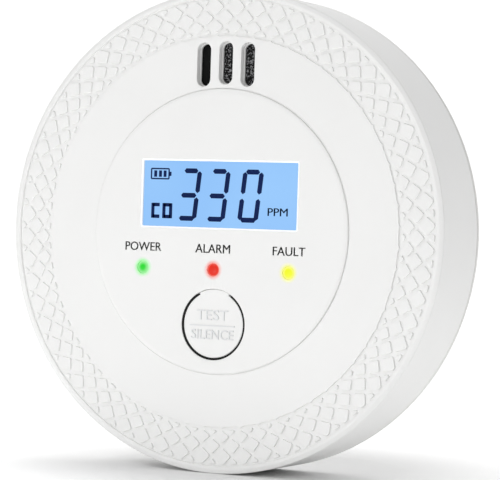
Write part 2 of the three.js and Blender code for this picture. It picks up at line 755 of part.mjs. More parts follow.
// Lights: a clear pipe in front of a small LED on the board for each one.
const lightNames = ['power', 'alarm', 'fault'];
const lightColors = [0x35d048, 0xe0301f, 0xf4ee30];
const lightPipe = makeLightPipe();
lightPlaces().forEach((x, i) => {
  const led = block(
    -LED_WIDTH / 2, LED_WIDTH / 2, 0, -LED_THICKNESS, -LED_HEIGHT / 2, LED_HEIGHT / 2,
  );
  const look = finish(lightColors[i], 0.15, 0, 0.8);
  addMesh(detector, `light_pipe_${lightNames[i]}`, lightPipe, look, x, 0, LIGHT_Z);
  addMesh(detector, `led_${lightNames[i]}`, led, finish(lightColors[i], 0.3), x, switchBack, LIGHT_Z);
});

// Board, switch and screws.
addMesh(detector, 'circuit_board', makeBoard(), finish(0x1f6b3a, 0.5));
addMesh(detector, 'button_switch', makeSwitch(), finish(0x2a2a2c, 0.5));
const plunger = disc(PLUNGER_RADIUS, switchFront + PLUNGER_DEPTH, plungerFront, BUTTON_X, BUTTON_Z);
addMesh(detector, 'switch_plunger', plunger, finish(0x3a3a3c, 0.5));

const boardScrew = makeScrew(
  BOARD_SCREW_RADIUS, BOARD_SCREW_LENGTH, BOARD_SCREW_HEAD_RADIUS, BOARD_SCREW_HEAD,
);
BOARD_SCREW_ANGLES.forEach((angle, i) => {
  const [x, z] = onCircle(boardScrewRadius, angle);
  addMesh(detector, `board_screw_${i + 1}`, boardScrew, steel, x, boardBack + GAP, z);
});
const caseScrew = makeScrew(
  CASE_SCREW_RADIUS, CASE_SCREW_LENGTH, CASE_SCREW_HEAD_RADIUS, CASE_SCREW_HEAD,
);
CASE_SCREW_ANGLES.forEach((angle, i) => {
  const [x, z] = onCircle(caseScrewRadius, angle);
  addMesh(detector, `case_screw_${i + 1}`, caseScrew, steel, x, bossFront + 1 + GAP, z);
});

// Components on the board's front side and back side.
const partBack = boardBack + GAP;
const chipHalf = CHIP_SIZE / 2;
const chip = block(-chipHalf, chipHalf, CHIP_THICKNESS, 0, -chipHalf, chipHalf);
const [chipX, chipZ] = CHIP_PLACE;
const chipFront = boardFront - GAP - CHIP_THICKNESS;
addMesh(detector, 'microcontroller', chip, finish(0x1b1b1d, 0.6), chipX, chipFront, chipZ);
const capacitor = turned([
  [0, 0],
  [CAPACITOR_RADIUS, 0],
  [CAPACITOR_RADIUS, CAPACITOR_LENGTH - 0.3],
  [CAPACITOR_RADIUS - 0.6, CAPACITOR_LENGTH],
  [0, CAPACITOR_LENGTH],
]);
const [capX, capZ] = CAPACITOR_PLACE;
addMesh(detector, 'capacitor', capacitor, finish(0x23262c, 0.4), capX, partBack, capZ);
const windingRadius = COIL_RADIUS - 1;
const coil = turned([
  [0, 0],
  [COIL_RADIUS, 0],
  [COIL_RADIUS, 1],
  [windingRadius, 1.2],
  [windingRadius, COIL_LENGTH - 1.2],
  [COIL_RADIUS, COIL_LENGTH - 1],
  [COIL_RADIUS, COIL_LENGTH],
  [0, COIL_LENGTH],
]);
const [coilX, coilZ] = COIL_PLACE;
addMesh(detector, 'sounder_coil', coil, finish(0x2d2d30, 0.6), coilX, partBack, coilZ);

// Gas sensor, its filter disc, and the dust filter behind the vents.
const sensorTop = partBack + SENSOR_HEIGHT;
const sensor = turned([
  [0, partBack],
  [SENSOR_RADIUS, partBack],
  [SENSOR_RADIUS, sensorTop - 1],
  [SENSOR_RADIUS - 0.6, sensorTop],
  [0, sensorTop],
], MEDIUM);
addMesh(detector, 'co_sensor', sensor, steel, 0, 0, SENSOR_Z);
const sensorFilter = disc(
  SENSOR_FILTER_RADIUS, boardBack, boardBack - SENSOR_FILTER_THICKNESS, 0, SENSOR_Z,
);
addMesh(detector, 'sensor_filter', sensorFilter, finish(0xe9e9e4, 0.9));
const filterHalfX = ((VENT_COUNT - 1) * VENT_PITCH + VENT_WIDTH) / 2 + FILTER_BORDER;
const filterHalfZ = VENT_HEIGHT / 2 + FILTER_BORDER;
const filterBack = insideY + GAP + FILTER_THICKNESS;
const dustFilter = block(
  VENT_X - filterHalfX, VENT_X + filterHalfX, filterBack, insideY + GAP,
  VENT_RADIUS - filterHalfZ, VENT_RADIUS + filterHalfZ,
);
addMesh(detector, 'dust_filter', dustFilter, finish(0x1c1c1e, 0.95));

// Sounder: a resonating case with a piezo disc in its open end.
const sounderBack = partBack + SOUNDER_HEIGHT;
const sounderCase = makeSounderCase(sounderBack, partBack);
addMesh(detector, 'sounder_case', sounderCase, finish(0x202124, 0.5), 0, 0, SOUNDER_Z);
const piezoRadius = SOUNDER_RADIUS - SOUNDER_WALL - GAP;
const piezoBack = sounderBack - GAP;
const piezo = disc(piezoRadius, piezoBack, piezoBack - PIEZO_THICKNESS, 0, SOUNDER_Z, MEDIUM);
addMesh(detector, 'piezo_disc', piezo, finish(0xc9a24a, 0.35, 1));

// Batteries with their springs, and the contact plates that join them in series.
for (let i = 0; i < CELL_COUNT; i += 1) {
  const { z, plusSide } = cellPlace(i);
  const minusX = plusSide * (contactInnerX - GAP - CELL_LENGTH);
  addMesh(detector, `battery_${i + 1}`, makeCell(plusSide), finish(0x2f3a4a, 0.35, 0.3),
    minusX, cellAxisY, z);
  const springX = -plusSide * (contactInnerX - GAP);
  addMesh(detector, `battery_spring_${i + 1}`, makeSpring(plusSide), tinPlate,
    springX, cellAxisY, z);
}
const lowCell = cellPlace(0).z;
const midCell = cellPlace(1).z;
const topCell = cellPlace(2).z;
addMesh(detector, 'contact_positive', makeContact(1, topCell, topCell, true), tinPlate);
addMesh(detector, 'contact_negative', makeContact(-1, lowCell, lowCell, true), tinPlate);
addMesh(detector, 'contact_bridge_left', makeContact(-1, midCell, topCell, false), tinPlate);
addMesh(detector, 'contact_bridge_right', makeContact(1, lowCell, midCell, false), tinPlate);

export default model;
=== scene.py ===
# %% [markdown]
# A carbon monoxide detector is a shallow round case that hangs on a wall. Its face has a raised
# disc with a display, three lights and a test button, a smooth ring with three sensor slots,
# and a band of small raised diamonds out to the rim.
# The measured model comes in first as a fixed frame. Every piece below is made where that frame
# says its part is, in metres, with the wall at y = 0 and the face towards -y.

# %% Load the measured frame
import math
import bmesh
import bpy
import numpy as np
from mathutils import Matrix, Vector
from mathutils.geometry import delaunay_2d_cdt


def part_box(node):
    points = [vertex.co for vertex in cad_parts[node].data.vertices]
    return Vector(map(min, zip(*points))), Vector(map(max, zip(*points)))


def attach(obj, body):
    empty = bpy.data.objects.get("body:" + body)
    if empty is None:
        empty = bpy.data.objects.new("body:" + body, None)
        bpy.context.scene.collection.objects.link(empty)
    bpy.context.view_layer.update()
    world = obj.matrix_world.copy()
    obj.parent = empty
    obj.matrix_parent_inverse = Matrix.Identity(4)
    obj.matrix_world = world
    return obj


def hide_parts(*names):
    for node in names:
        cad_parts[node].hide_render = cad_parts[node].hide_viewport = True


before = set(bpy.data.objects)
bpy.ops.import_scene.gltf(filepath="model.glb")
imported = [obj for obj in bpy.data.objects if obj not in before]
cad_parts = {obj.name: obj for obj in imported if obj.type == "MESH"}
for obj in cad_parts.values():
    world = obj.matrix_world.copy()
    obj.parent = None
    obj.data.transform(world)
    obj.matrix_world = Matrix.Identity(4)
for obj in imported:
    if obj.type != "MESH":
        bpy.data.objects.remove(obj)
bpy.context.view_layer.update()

MM = 0.001

# %% [markdown]
# Working sizes are kept in millimetres, because that is how such a case is drawn. The outer
# sizes are read from the frame's own pieces, so that the looks can't drift from the model.

# %% Read the main sizes from the frame
def node_box(node):
    """The lowest and highest corner of a frame node, in millimetres."""
    low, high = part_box(node)
    return np.array(low) / MM, np.array(high) / MM


cover_low, cover_high = node_box("front_cover")
CASE_RADIUS = float(cover_high[0])
SIDE_BACK = float(cover_high[1])
DISC_Y = float(cover_low[1])
DISC_HEIGHT, GROOVE_DEPTH, FACE_WALL, SIDE_WALL = 0.5, 0.4, 2.4, 2
RING_Y = DISC_Y + DISC_HEIGHT
FLOOR_Y = RING_Y + GROOVE_DEPTH
INSIDE_Y = RING_Y + FACE_WALL
INSIDE_RADIUS = CASE_RADIUS - SIDE_WALL
print("case radius", round(CASE_RADIUS, 3), "disc front", round(DISC_Y, 3))

# %% [markdown]
# Colours are picked as sRGB hex values, as on a paint card, but light adds up in linear values.
# One function does that change for every finish. A second one adds a node to a material with
# its settings and its links, so that each finish reads as a short list.

# %% Colour and node helpers
def linear(hex_colour):
    """Each channel c of 0 to 1 becomes c / 12.92 near black, or ((c + 0.055) / 1.055) ^ 2.4."""
    c = np.array([int(hex_colour[i:i + 2], 16) for i in (0, 2, 4)]) / 255
    out = np.where(c <= 0.04045, c / 12.92, ((c + 0.055) / 1.055) ** 2.4)
    return (*[float(v) for v in out], 1.0)


def add_node(tree, kind, settings=None, values=None, links=None, stops=()):
    """Add one node: settings are its own options, values fill sockets, links feed sockets,
    and stops are the (place, hex) pairs of its colour ramp, if it has one."""
    node = tree.nodes.new(kind)
    for name, value in (settings or {}).items():
        setattr(node, name, value)
    for name, value in (values or {}).items():
        node.inputs[name].default_value = value
    for name, source in (links or {}).items():
        tree.links.new(source, node.inputs[name])
    if stops:
        elements = node.color_ramp.elements
        while len(elements) < len(stops):
            elements.new(0.5)
        for element, (place, colour) in zip(elements, stops):
            element.position, element.color = place, linear(colour)
    return node


def new_material(name):
    """An empty material and its node tree."""
    material = bpy.data.materials.new(name)
    material.use_nodes = True
    material.node_tree.nodes.clear()
    return material, material.node_tree


# %% [markdown]
# Most of the case is injection-moulded ABS. The steel mould is spark-eroded, which leaves a
# very fine satin grain, and thick and thin walls cool a little differently, which gives slow
# changes of tone. Both are noise patterns whose scale comes from a size in millimetres. The
# real grain is near 0.05 mm, too fine to show, so it is drawn at 0.35 mm and kept shallow.

# %% A moulded plastic finish
def moulded_plastic(name, light_hex, dark_hex, roughness, grain_mm=0.35, depth_mm=0.004,
                    cloud_mm=22, coat=0.0, specular=0.5, spread=(0.3, 0.7)):
    """Colour = ramp(cloud noise); height = grain noise * depth, bumped into the shader."""
    material, tree = new_material(name)
    place = add_node(tree, "ShaderNodeTexCoord").outputs["Object"]
    cloud = add_node(tree, "ShaderNodeTexNoise", None,
                     {"Scale": 1 / (cloud_mm * MM), "Detail": 2.0, "Roughness": 0.45},
                     {"Vector": place})
    tone = add_node(tree, "ShaderNodeValToRGB", None, None, {"Fac": cloud.outputs["Fac"]},
                    [(spread[0], dark_hex), (spread[1], light_hex)])
    grain = add_node(tree, "ShaderNodeTexNoise", None,
                     {"Scale": 1 / (grain_mm * MM), "Detail": 3.0, "Roughness": 0.6},
                     {"Vector": place})
    bump = add_node(tree, "ShaderNodeBump", None,
                    {"Strength": 1.0, "Distance": depth_mm * MM},
                    {"Height": grain.outputs["Fac"]})
    gloss = add_node(tree, "ShaderNodeMapRange", None,
                     {"To Min": roughness - 0.04, "To Max": roughness + 0.04},
                     {"Value": grain.outputs["Fac"]})
    shader = add_node(tree, "ShaderNodeBsdfPrincipled", None,
                      {"IOR": 1.53, "Coat Weight": coat, "Coat Roughness": 0.15,
                       "Specular IOR Level": specular},
                      {"Base Color": tone.outputs["Color"], "Normal": bump.outputs["Normal"],
                       "Roughness": gloss.outputs["Result"]})
    add_node(tree, "ShaderNodeOutputMaterial", None, None, {"Surface": shader.outputs["BSDF"]})
    return material


white_abs = moulded_plastic("white moulded ABS", "f1f1f0", "efefee", 0.42)
back_abs = moulded_plastic("white moulded ABS, back", "eeeeec", "ebebe9", 0.5, depth_mm=0.006)
print("made the white plastic finishes")

# %% [markdown]
# Each lit indicator has a soft coloured halo in the wall round it, and the halo is painted light:
# the cover's colour turns towards the light's colour close to each light's centre, and fades back
# to white a millimetre beyond its edge. It stands for the little light that thin white plastic
# lets through. The lights themselves use the same function, the other way round: a strong colour
# fades to a pale one at the edge.

# %% Painted light halos in the cover's plastic
def add_halos(material, places, colours, inner_mm, outer_mm, strength, socket="Base Color"):
    """Colour = mix(own colour, tint, smooth falloff of the distance to each place in mm)."""
    tree = material.node_tree
    shader = next(n for n in tree.nodes if n.type == "BSDF_PRINCIPLED")
    here = next(n for n in tree.nodes if n.type == "TEX_COORD").outputs["Object"]
    colour = shader.inputs[socket].links[0].from_socket
    for place, tint in zip(places, colours):
        gap = add_node(tree, "ShaderNodeVectorMath", {"operation": "DISTANCE"})
        tree.links.new(here, gap.inputs[0])
        gap.inputs[1].default_value = [c * MM for c in place]
        fade = add_node(tree, "ShaderNodeMapRange", {"interpolation_type": "SMOOTHSTEP"},
                        {"From Min": inner_mm * MM, "From Max": outer_mm * MM,
                         "To Min": strength, "To Max": 0.0}, {"Value": gap.outputs["Value"]})
        mix = add_node(tree, "ShaderNodeMixRGB", None, {"Color2": linear(tint)},
                       {"Fac": fade.outputs["Result"], "Color1": colour})
        colour = mix.outputs["Color"]
    tree.links.new(colour, shader.inputs[socket])


# %% [markdown]
# The case is drawn from flat outlines, as a mould maker would: each level of the face is a flat
# sheet between outlines, and a skin joins one outline to the next. An outline is an array of
# x and z values. These few functions draw all of them.

# %% Outline functions
def circle(radius, steps=240, x=0.0, z=0.0):
    """Centre plus radius times (cos t, sin t), for equal steps of t, anticlockwise."""
    t = np.arange(steps) * 2 * np.pi / steps
    return np.column_stack((x + radius * np.cos(t), z + radius * np.sin(t)))


def polar(radius, degrees):
    """The x and z of a point, or of many, at a radius and an angle."""
    t = np.radians(degrees)
    return radius * np.cos(t), radius * np.sin(t)


def arc_band(inner, outer, degrees):
    """A piece of a ring: points out along the outer arc and back along the inner one."""
    return np.concatenate((np.column_stack(polar(outer, degrees)),
                           np.column_stack(polar(inner, degrees))[::-1]))


def rounded(corners, radius, steps=5):
    """Each corner becomes an arc that touches both sides. The arc's centre lies on the
    corner's bisector, radius / sin(half the corner's angle) away from it."""
    corners = np.asarray(corners, float)
    behind = np.roll(corners, 1, 0) - corners
    ahead = np.roll(corners, -1, 0) - corners
    length_b = np.linalg.norm(behind, axis=1)
    length_a = np.linalg.norm(ahead, axis=1)
    behind = behind / length_b[:, None]
    ahead = ahead / length_a[:, None]
    half = np.arccos(np.clip((behind * ahead).sum(1), -1, 1)) / 2
    reach = np.minimum(radius / np.tan(half), 0.499 * np.minimum(length_a, length_b))
    size = reach * np.tan(half)
    middle = behind + ahead
    middle = middle / np.linalg.norm(middle, axis=1)[:, None]
    centre = corners + middle * (size / np.sin(half))[:, None]
    start = corners + behind * reach[:, None] - centre
    end = corners + ahead * reach[:, None] - centre
    turn = np.pi - 2 * half
    s = np.linspace(0, 1, steps + 1)[None, :, None]
    w = turn[:, None, None]
    arc = (np.sin((1 - s) * w) * start[:, None] + np.sin(s * w) * end[:, None]) / np.sin(w)
    return (centre[:, None] + arc).reshape(-1, 2)


def rectangle(width, height, x=0.0, z=0.0, radius=0.3, steps=5):
    """Four corners, anticlockwise from the lower left, each rounded."""
    a, b = width / 2, height / 2
    return rounded([(x - a, z - b), (x + a, z - b), (x + a, z + b), (x - a, z + b)],
                   radius, steps)


def grown(outline, distance):
    """Each point moves along the sum of its two sides' outward normals, so that both sides
    move out by the distance. A negative distance draws the outline in."""
    back = outline - np.roll(outline, 1, 0)
    ahead = np.roll(outline, -1, 0) - outline
    n1 = np.column_stack((back[:, 1], -back[:, 0]))
    n2 = np.column_stack((ahead[:, 1], -ahead[:, 0]))
    n1 = n1 / np.maximum(np.linalg.norm(n1, axis=1), 1e-9)[:, None]
    n2 = n2 / np.maximum(np.linalg.norm(n2, axis=1), 1e-9)[:, None]
    return outline + distance * (n1 + n2) / (1 + (n1 * n2).sum(1))[:, None]


def at(outline, y):
    """The outline as points in space, at one depth y or at each point's own."""
    return np.column_stack((outline[:, 0], np.full(len(outline), y), outline[:, 1]))


# %% [markdown]
# Two ways to make a surface are enough. A skin is a grid of four-sided faces through rings of
# points: one parameter runs round the ring, the other from ring to ring. A flat sheet with
# holes is filled by a constrained Delaunay triangulation, which keeps every outline as an edge,
# so that the skins and the sheets share their points and weld into one closed body.

# %% Surface functions
def skin(rings):
    """Point (i, j) is ring i's point j, and face (i, j) joins it to i + 1 and j + 1."""
    rings = np.array(rings)
    count, around = rings.shape[:2]
    i = np.arange(count - 1)[:, None] * around
    j = np.arange(around)[None, :]
    k = (j + 1) % around
    faces = np.stack((i + j, i + k, i + around + k, i + around + j), -1).reshape(-1, 4)
    return rings.reshape(-1, 3), faces.tolist()


def tube(outline, *depths):
    """A straight wall: one outline carried through a list of depths."""
    return skin([at(outline, y) for y in depths])


def turned(profile, steps=240, x=0.0, z=0.0):
    """A profile of (radius, y) pairs carried round the y axis through (x, z)."""
    return skin([at(circle(max(r, 1e-4), steps, x, z), y) for r, y in profile])


def flat_sheet(outer, holes, y):
    """Triangles at depth y inside the outer outline and outside every hole."""
    outlines = [outer, *holes]
    loops, start = [], 0
    for outline in outlines:
        loop = list(range(start, start + len(outline)))
        area = np.cross(outline, np.roll(outline, -1, 0)).sum()
        loops.append(loop if area > 0 else loop[::-1])
        start += len(outline)
    points = [Vector(p) for p in np.concatenate(outlines)]
    verts, _, faces, _, _, owners = delaunay_2d_cdt(points, [], loops, 1, 1e-6)
    kept = [list(f) for f, o in zip(faces, owners) if list(o) == [0]]
    return at(np.array([[v.x, v.y] for v in verts]), y), kept


def bevel_rings(outline, y_edge, y_far, round_mm):
    """The wall of a hole: it starts wider by the radius, turns in along a quarter circle and
    runs straight to y_far."""
    rings = [at(grown(outline, round_mm * (1 - math.sin(a))),
                y_edge + round_mm * (1 - math.cos(a))) for a in np.linspace(0, np.pi / 2, 4)]
    return rings + [at(outline, y_far)]


def eased_wall(outline, ease, y_edge, y_far):
    """A wall with a chamfered edge, which leans out (ease > 0) for a hole, in for a boss."""
    return skin([at(grown(outline, ease), y_edge), at(outline, y_edge - abs(ease)),
                 at(outline, y_far)])


def lid(ring):
    """One flat face over a convex ring of points."""
    return ring, [list(range(len(ring)))]


def cup(outline, y_open, y_closed):
    """A straight wall that ends in a lid."""
    return [tube(outline, y_open, y_closed), lid(at(outline, y_closed))]


def plate(outline, y_front, y_back):
    """A thin flat plate: two lids and the wall between them."""
    return [lid(at(outline, y_front)), *cup(outline, y_front, y_back)]


# %% [markdown]
# Each finished piece gets the same ending: its points are welded, its faces are turned to point
# outwards, small angles are shaded smooth, and large flat faces decide the shading at rounded
# edges (Weighted Normal), as light does on a real moulding. The function also counts open
# edges, which a closed body has none of.

# %% Make a piece from its surfaces
def placed(name, data):
    """A new object of the scene, at the origin."""
    thing = bpy.data.objects.new(name, data)
    bpy.context.scene.collection.objects.link(thing)
    return thing


def make_piece(name, surfaces, finish, body, stands_for=(), smooth=38):
    """Weld the surfaces (in mm) into one mesh (in m) that rides on a body of the frame."""
    points, faces, start = [], [], 0
    for p, f in surfaces:
        points.append(p)
        faces.extend([[i + start for i in face] for face in f])
        start += len(p)
    mesh = bpy.data.meshes.new(name)
    mesh.from_pydata((np.concatenate(points) * MM).tolist(), [], faces)
    work = bmesh.new()
    work.from_mesh(mesh)
    bmesh.ops.remove_doubles(work, verts=work.verts, dist=2e-7)
    bmesh.ops.recalc_face_normals(work, faces=work.faces)
    open_edges = sum(1 for e in work.edges if len(e.link_faces) != 2)
    work.to_mesh(mesh)
    work.free()
    mesh.shade_smooth()
    mesh.set_sharp_from_angle(angle=math.radians(smooth))
    piece = placed(name, mesh)
    even = piece.modifiers.new("even shading", "WEIGHTED_NORMAL")
    even.keep_sharp = True
    even.weight = 80
    mesh.materials.append(finish)
    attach(piece, body)
    if stands_for:
        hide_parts(*stands_for)
    print(name, len(mesh.vertices), "points", len(mesh.polygons), "faces,",
          open_edges, "open edges")


# %% [markdown]
# The band of diamonds is cut by straight grooves. Sixty grooves run one way and sixty the
# other, and every groove just touches the same circle, so that they cross in rows whose cells
# grow towards the rim. A cell is the space inside four groove lines. It can also be cut off
# flat, next to the rim and next to the smooth ring.

# %% One diamond's outline
GROOVE_CIRCLE = 33.36
GROOVE_PHASE = -2.03
GROOVE_STEP = 6.0
CELL_OUTER_CUT = 48.05
CELL_INNER_CUT = 40.95


def clipped(corners, normal, limit):
    """The part of a convex polygon where point . normal <= limit."""
    kept = []
    side = corners @ normal - limit
    for a, b, sa, sb in zip(corners, np.roll(corners, -1, 0), side, np.roll(side, -1)):
        if sa <= 0:
            kept.append(a)
        if (sa < 0) != (sb < 0):
            kept.append(a + (b - a) * sa / (sa - sb))
    return np.array(kept)


def diamond(angle, u, groove, radius, outer=None, inner=None):
    """Four lines n . p = GROOVE_CIRCLE bound the cell at an angle. Their normals point at
    angle -+ (u +- 3 - phase), and each side lies half a groove inside its line."""
    reach = GROOVE_CIRCLE / math.cos(math.radians(u - GROOVE_PHASE))
    way = np.array(polar(1, angle))
    shape = reach * way + np.array([(-7, -7), (7, -7), (7, 7), (-7, 7)], float)
    half = GROOVE_STEP / 2
    for turn, sign in ((-u - half, 1), (u + half, 1), (-u + half, -1), (u - half, -1)):
        phase = GROOVE_PHASE if turn < 0 else -GROOVE_PHASE
        normal = sign * np.array(polar(1, angle + turn + phase))
        shape = clipped(shape, normal, sign * GROOVE_CIRCLE - groove / 2)
    if outer:
        shape = clipped(shape, way, outer)
    if inner:
        shape = clipped(shape, -way, -inner)
    return rounded(shape, radius, 4)


# %% [markdown]
# Each diamond is a low boss: sloping walls up from the groove floor, a small rounding and a
# flat top level with the smooth ring. The five shapes are worked out once, and a stack of
# sixty turning matrices carries each of them round the face as whole arrays.

# %% All the diamonds
CELL_ROWS = (
    # angle, u, corner radius, cut at the rim, cut at the ring
    (3, 42, 0.38, CELL_OUTER_CUT, None),
    (0, 39, 0.38, None, None),
    (3, 36, 0.36, None, None),
    (0, 33, 0.36, None, CELL_INNER_CUT),
    (0, 45, 0.3, CELL_OUTER_CUT, None),
)
CELL_LEVELS = (
    # depth below the top, groove width at that level
    (GROOVE_DEPTH, 0.64), (0.08, 0.75), (0.03, 0.78), (0.01, 0.82), (0.0, 0.88),
)
turns = np.radians(np.arange(60) * GROOVE_STEP)
spin = np.array([[np.cos(turns), -np.sin(turns)], [np.sin(turns), np.cos(turns)]])
spin = spin.transpose(2, 0, 1)
diamond_surfaces, diamond_feet = [], []
for angle, u, radius, outer, inner in CELL_ROWS:
    rings = []
    for _, groove in CELL_LEVELS:
        shrink = (groove - CELL_LEVELS[0][1]) / 2
        far = outer and outer - shrink
        near = inner and inner + shrink
        rings.append(diamond(angle, u, groove, max(radius - 0.5 * shrink, 0.1), far, near))
    rings = np.array(rings)
    copies = np.einsum("kab,lnb->klna", spin, rings)
    for copy in copies:
        stack = [at(ring, RING_Y + level[0]) for ring, level in zip(copy, CELL_LEVELS)]
        diamond_surfaces += [skin(stack), lid(stack[-1])]
        diamond_feet.append(copy[0])
print(len(diamond_feet), "diamonds of", len(CELL_ROWS), "shapes")

# %% [markdown]
# The openings in the face come next: the display window with its bevelled edge, three holes
# for the lights, the round hole of the test button and three upright sensor slots.

# %% Openings in the face
glass_low, glass_high = node_box("lcd_glass")
WINDOW = {"width": 36.7, "height": 14.4, "x": -0.1, "z": 7.58}
WINDOW_BEVEL, BEVEL_DEPTH, SEAT_MARGIN = 0.36, 0.36, 1.9
window = rectangle(radius=0.45, **WINDOW)
opening = rectangle(WINDOW["width"] - 2 * WINDOW_BEVEL, WINDOW["height"] - 2 * WINDOW_BEVEL,
                    WINDOW["x"], WINDOW["z"], 0.2)
seat = rectangle(WINDOW["width"] + 2 * SEAT_MARGIN, WINDOW["height"] + 2 * SEAT_MARGIN, 0.0,
                 WINDOW["z"], 0.45)
SEAT_Y = DISC_Y + 0.6
LIGHTS = {"power": -17.5, "alarm": -0.83, "fault": 16.47}
LIGHT_Z = -7.95
LIGHT_HOLE = 1.33
light_holes = [circle(LIGHT_HOLE, 40, x, LIGHT_Z) for x in LIGHTS.values()]
cover_abs_painted_halos = moulded_plastic("white moulded ABS, painted light halos", "f1f1f0", "efefee", 0.42)
# Painted light: soft coloured halos round the three lights, tinted into the cover's own colour.
add_halos(cover_abs_painted_halos, [(x, DISC_Y, LIGHT_Z) for x in LIGHTS.values()],
          ("80ff84", "ff6a50", "ffff48"), 1.0, 2.3, 0.85)
BUTTON_RADIUS = 6.9
BUTTON_SLOT = 0.46
BUTTON_X, BUTTON_Z = -0.45, -19.25
HINGE_HALF_ANGLE = 28.5
HAIRLINE = 0.06
button_hole = circle(BUTTON_RADIUS + BUTTON_SLOT, 144, BUTTON_X, BUTTON_Z)
VENTS = ((-4.78, 34.45, 9.1), (0.34, 34.8, 8.9), (5.42, 34.45, 9.1))
VENT_WIDTH, VENT_LEDGE = 3.14, 0.2
VENT_LEDGE_Y = RING_Y + 1.45
vents = [rectangle(VENT_WIDTH, length, x, z, VENT_WIDTH / 2, 12) for x, z, length in VENTS]
inner_vents = [grown(vent, -VENT_LEDGE) for vent in vents]
print("openings:", 2 + len(light_holes) + len(vents))

# %% [markdown]
# The cover is one closed moulding. From the middle outwards its front is the disc, a soft
# shoulder with a fine line at its foot, the smooth ring whose edge has little points where the
# grooves run out, the groove floor with the diamonds, and the rim with its rounded edge. Then
# the side wall, the inside wall and the inside face close it.

# %% The front cover's outlines
DISC_EDGE, RING_START, RING_END, BAND_END = 27.9, 29.7, 40.34, 48.38
POINT_HEIGHT, POINT_WIDTH = 0.26, 0.55
shoulder = [(DISC_EDGE, DISC_Y), (28.5, DISC_Y + 0.02), (29.0, DISC_Y + 0.07),
            (29.28, DISC_Y + 0.14), (29.4, DISC_Y + 0.22), (29.44, DISC_Y + 0.4),
            (29.46, DISC_Y + 0.68), (29.57, DISC_Y + 0.68), (29.61, DISC_Y + 0.54),
            (RING_START, RING_Y)]
angles = np.arange(960) * 360 / 960
to_point = angles % GROOVE_STEP - GROOVE_STEP / 2
ring_radius = RING_END + POINT_HEIGHT * np.exp(-(to_point / POINT_WIDTH) ** 2)
ring_edge = np.column_stack(polar(ring_radius, angles))
ring_levels = [(-0.05, 0.0), (-0.015, 0.01), (0.0, 0.03), (0.01, 0.08), (0.06, GROOVE_DEPTH)]
ring_rings = [at(ring_edge * (1 + d / RING_END), RING_Y + y) for d, y in ring_levels]
RIM_ROUND = 0.38
rim_start = CASE_RADIUS - RIM_ROUND
rim = [(BAND_END, FLOOR_Y), (48.44, RING_Y + 0.1), (48.47, RING_Y + 0.04), (48.55, RING_Y),
       (49.08, RING_Y), (49.18, RING_Y + 0.03), (rim_start, RING_Y + 0.24)]
rim += [(rim_start + RIM_ROUND * math.sin(a), RING_Y + 0.62 - RIM_ROUND * math.cos(a))
        for a in np.radians(np.linspace(33.75, 90, 6))]
rim += [(CASE_RADIUS, SIDE_BACK - 0.15), (CASE_RADIUS - 0.15, SIDE_BACK),
        (INSIDE_RADIUS, SIDE_BACK), (INSIDE_RADIUS, INSIDE_Y + 0.4),
        (INSIDE_RADIUS - 0.4, INSIDE_Y)]

# %% The front cover
LIP_ROUND = 0.12


def hole_walls(outline, y_front, round_mm=LIP_ROUND):
    """A rounded lip at the front and a straight wall to the inside face."""
    return skin(bevel_rings(outline, y_front, INSIDE_Y, round_mm))


def vent_walls(outline, inner):
    """A rounded lip, a wall down to a narrow ledge, and a smaller slot on to the inside."""
    rings = bevel_rings(outline, RING_Y, VENT_LEDGE_Y, LIP_ROUND)
    return skin(rings + [at(inner, VENT_LEDGE_Y), at(inner, INSIDE_Y)])


def lip(outline, round_mm=LIP_ROUND):
    """The outline as it meets the face, wider by the rounding of its edge."""
    return grown(outline, round_mm)


window_walls = [at(lip(window, 0.05), DISC_Y), at(window, DISC_Y + 0.03),
                at(grown(opening, 0.04), DISC_Y + BEVEL_DEPTH - 0.06),
                at(opening, DISC_Y + BEVEL_DEPTH), at(opening, SEAT_Y)]
cover_surfaces = [
    flat_sheet(circle(DISC_EDGE), [lip(window, 0.05), *map(lip, light_holes),
                                   lip(button_hole, 0.1)], DISC_Y),
    turned(shoulder),
    flat_sheet(ring_rings[0][:, [0, 2]], [circle(RING_START), *map(lip, vents)], RING_Y),
    skin(ring_rings),
    flat_sheet(circle(BAND_END), [ring_rings[-1][:, [0, 2]], *diamond_feet], FLOOR_Y),
    *diamond_surfaces,
    turned(rim),
    skin(window_walls),
    flat_sheet(seat, [opening], SEAT_Y),
    tube(seat, SEAT_Y, INSIDE_Y),
    *[hole_walls(hole, DISC_Y) for hole in light_holes],
    hole_walls(button_hole, DISC_Y, 0.1),
    *map(vent_walls, vents, inner_vents),
    flat_sheet(circle(INSIDE_RADIUS - 0.4), [seat, *light_holes, button_hole, *inner_vents],
               INSIDE_Y),
]
CASE_SCREWS = [polar(43, a) for a in (45, 135, 225, 315)]
BOARD_SCREWS = [polar(37, a) for a in (20, 160, 235, 305)]
POST_FRONT = INSIDE_Y - 0.5
for places, outer, bore, back in ((CASE_SCREWS, 3.0, 1.45, -6.5), (BOARD_SCREWS, 2.5, 1.2, -15.9)):
    for x, z in places:
        cover_surfaces.append(turned([(bore, POST_FRONT), (bore, back), (outer, back),
                                      (outer, POST_FRONT), (bore, POST_FRONT)], 48, x, z))
make_piece("white_front_cover", cover_surfaces, cover_abs_painted_halos, "detector",
           ["front_cover"])

# %% [markdown]
# Behind the vents lies a piece of black reticulated foam that keeps dust out. It is soft, so
# it bulges forward into each slot. Each bulge is a grid whose depth is a low dome plus a sum of
# sines at three scales, which stands for the torn cells. One slot has a smoother, denser plug.

# %% Foam dust filter
FOAM_FRONT, FOAM_GAP, FOAM_DOME = RING_Y + 1.55, 0.22, 0.25
foam_low, foam_high = node_box("dust_filter")


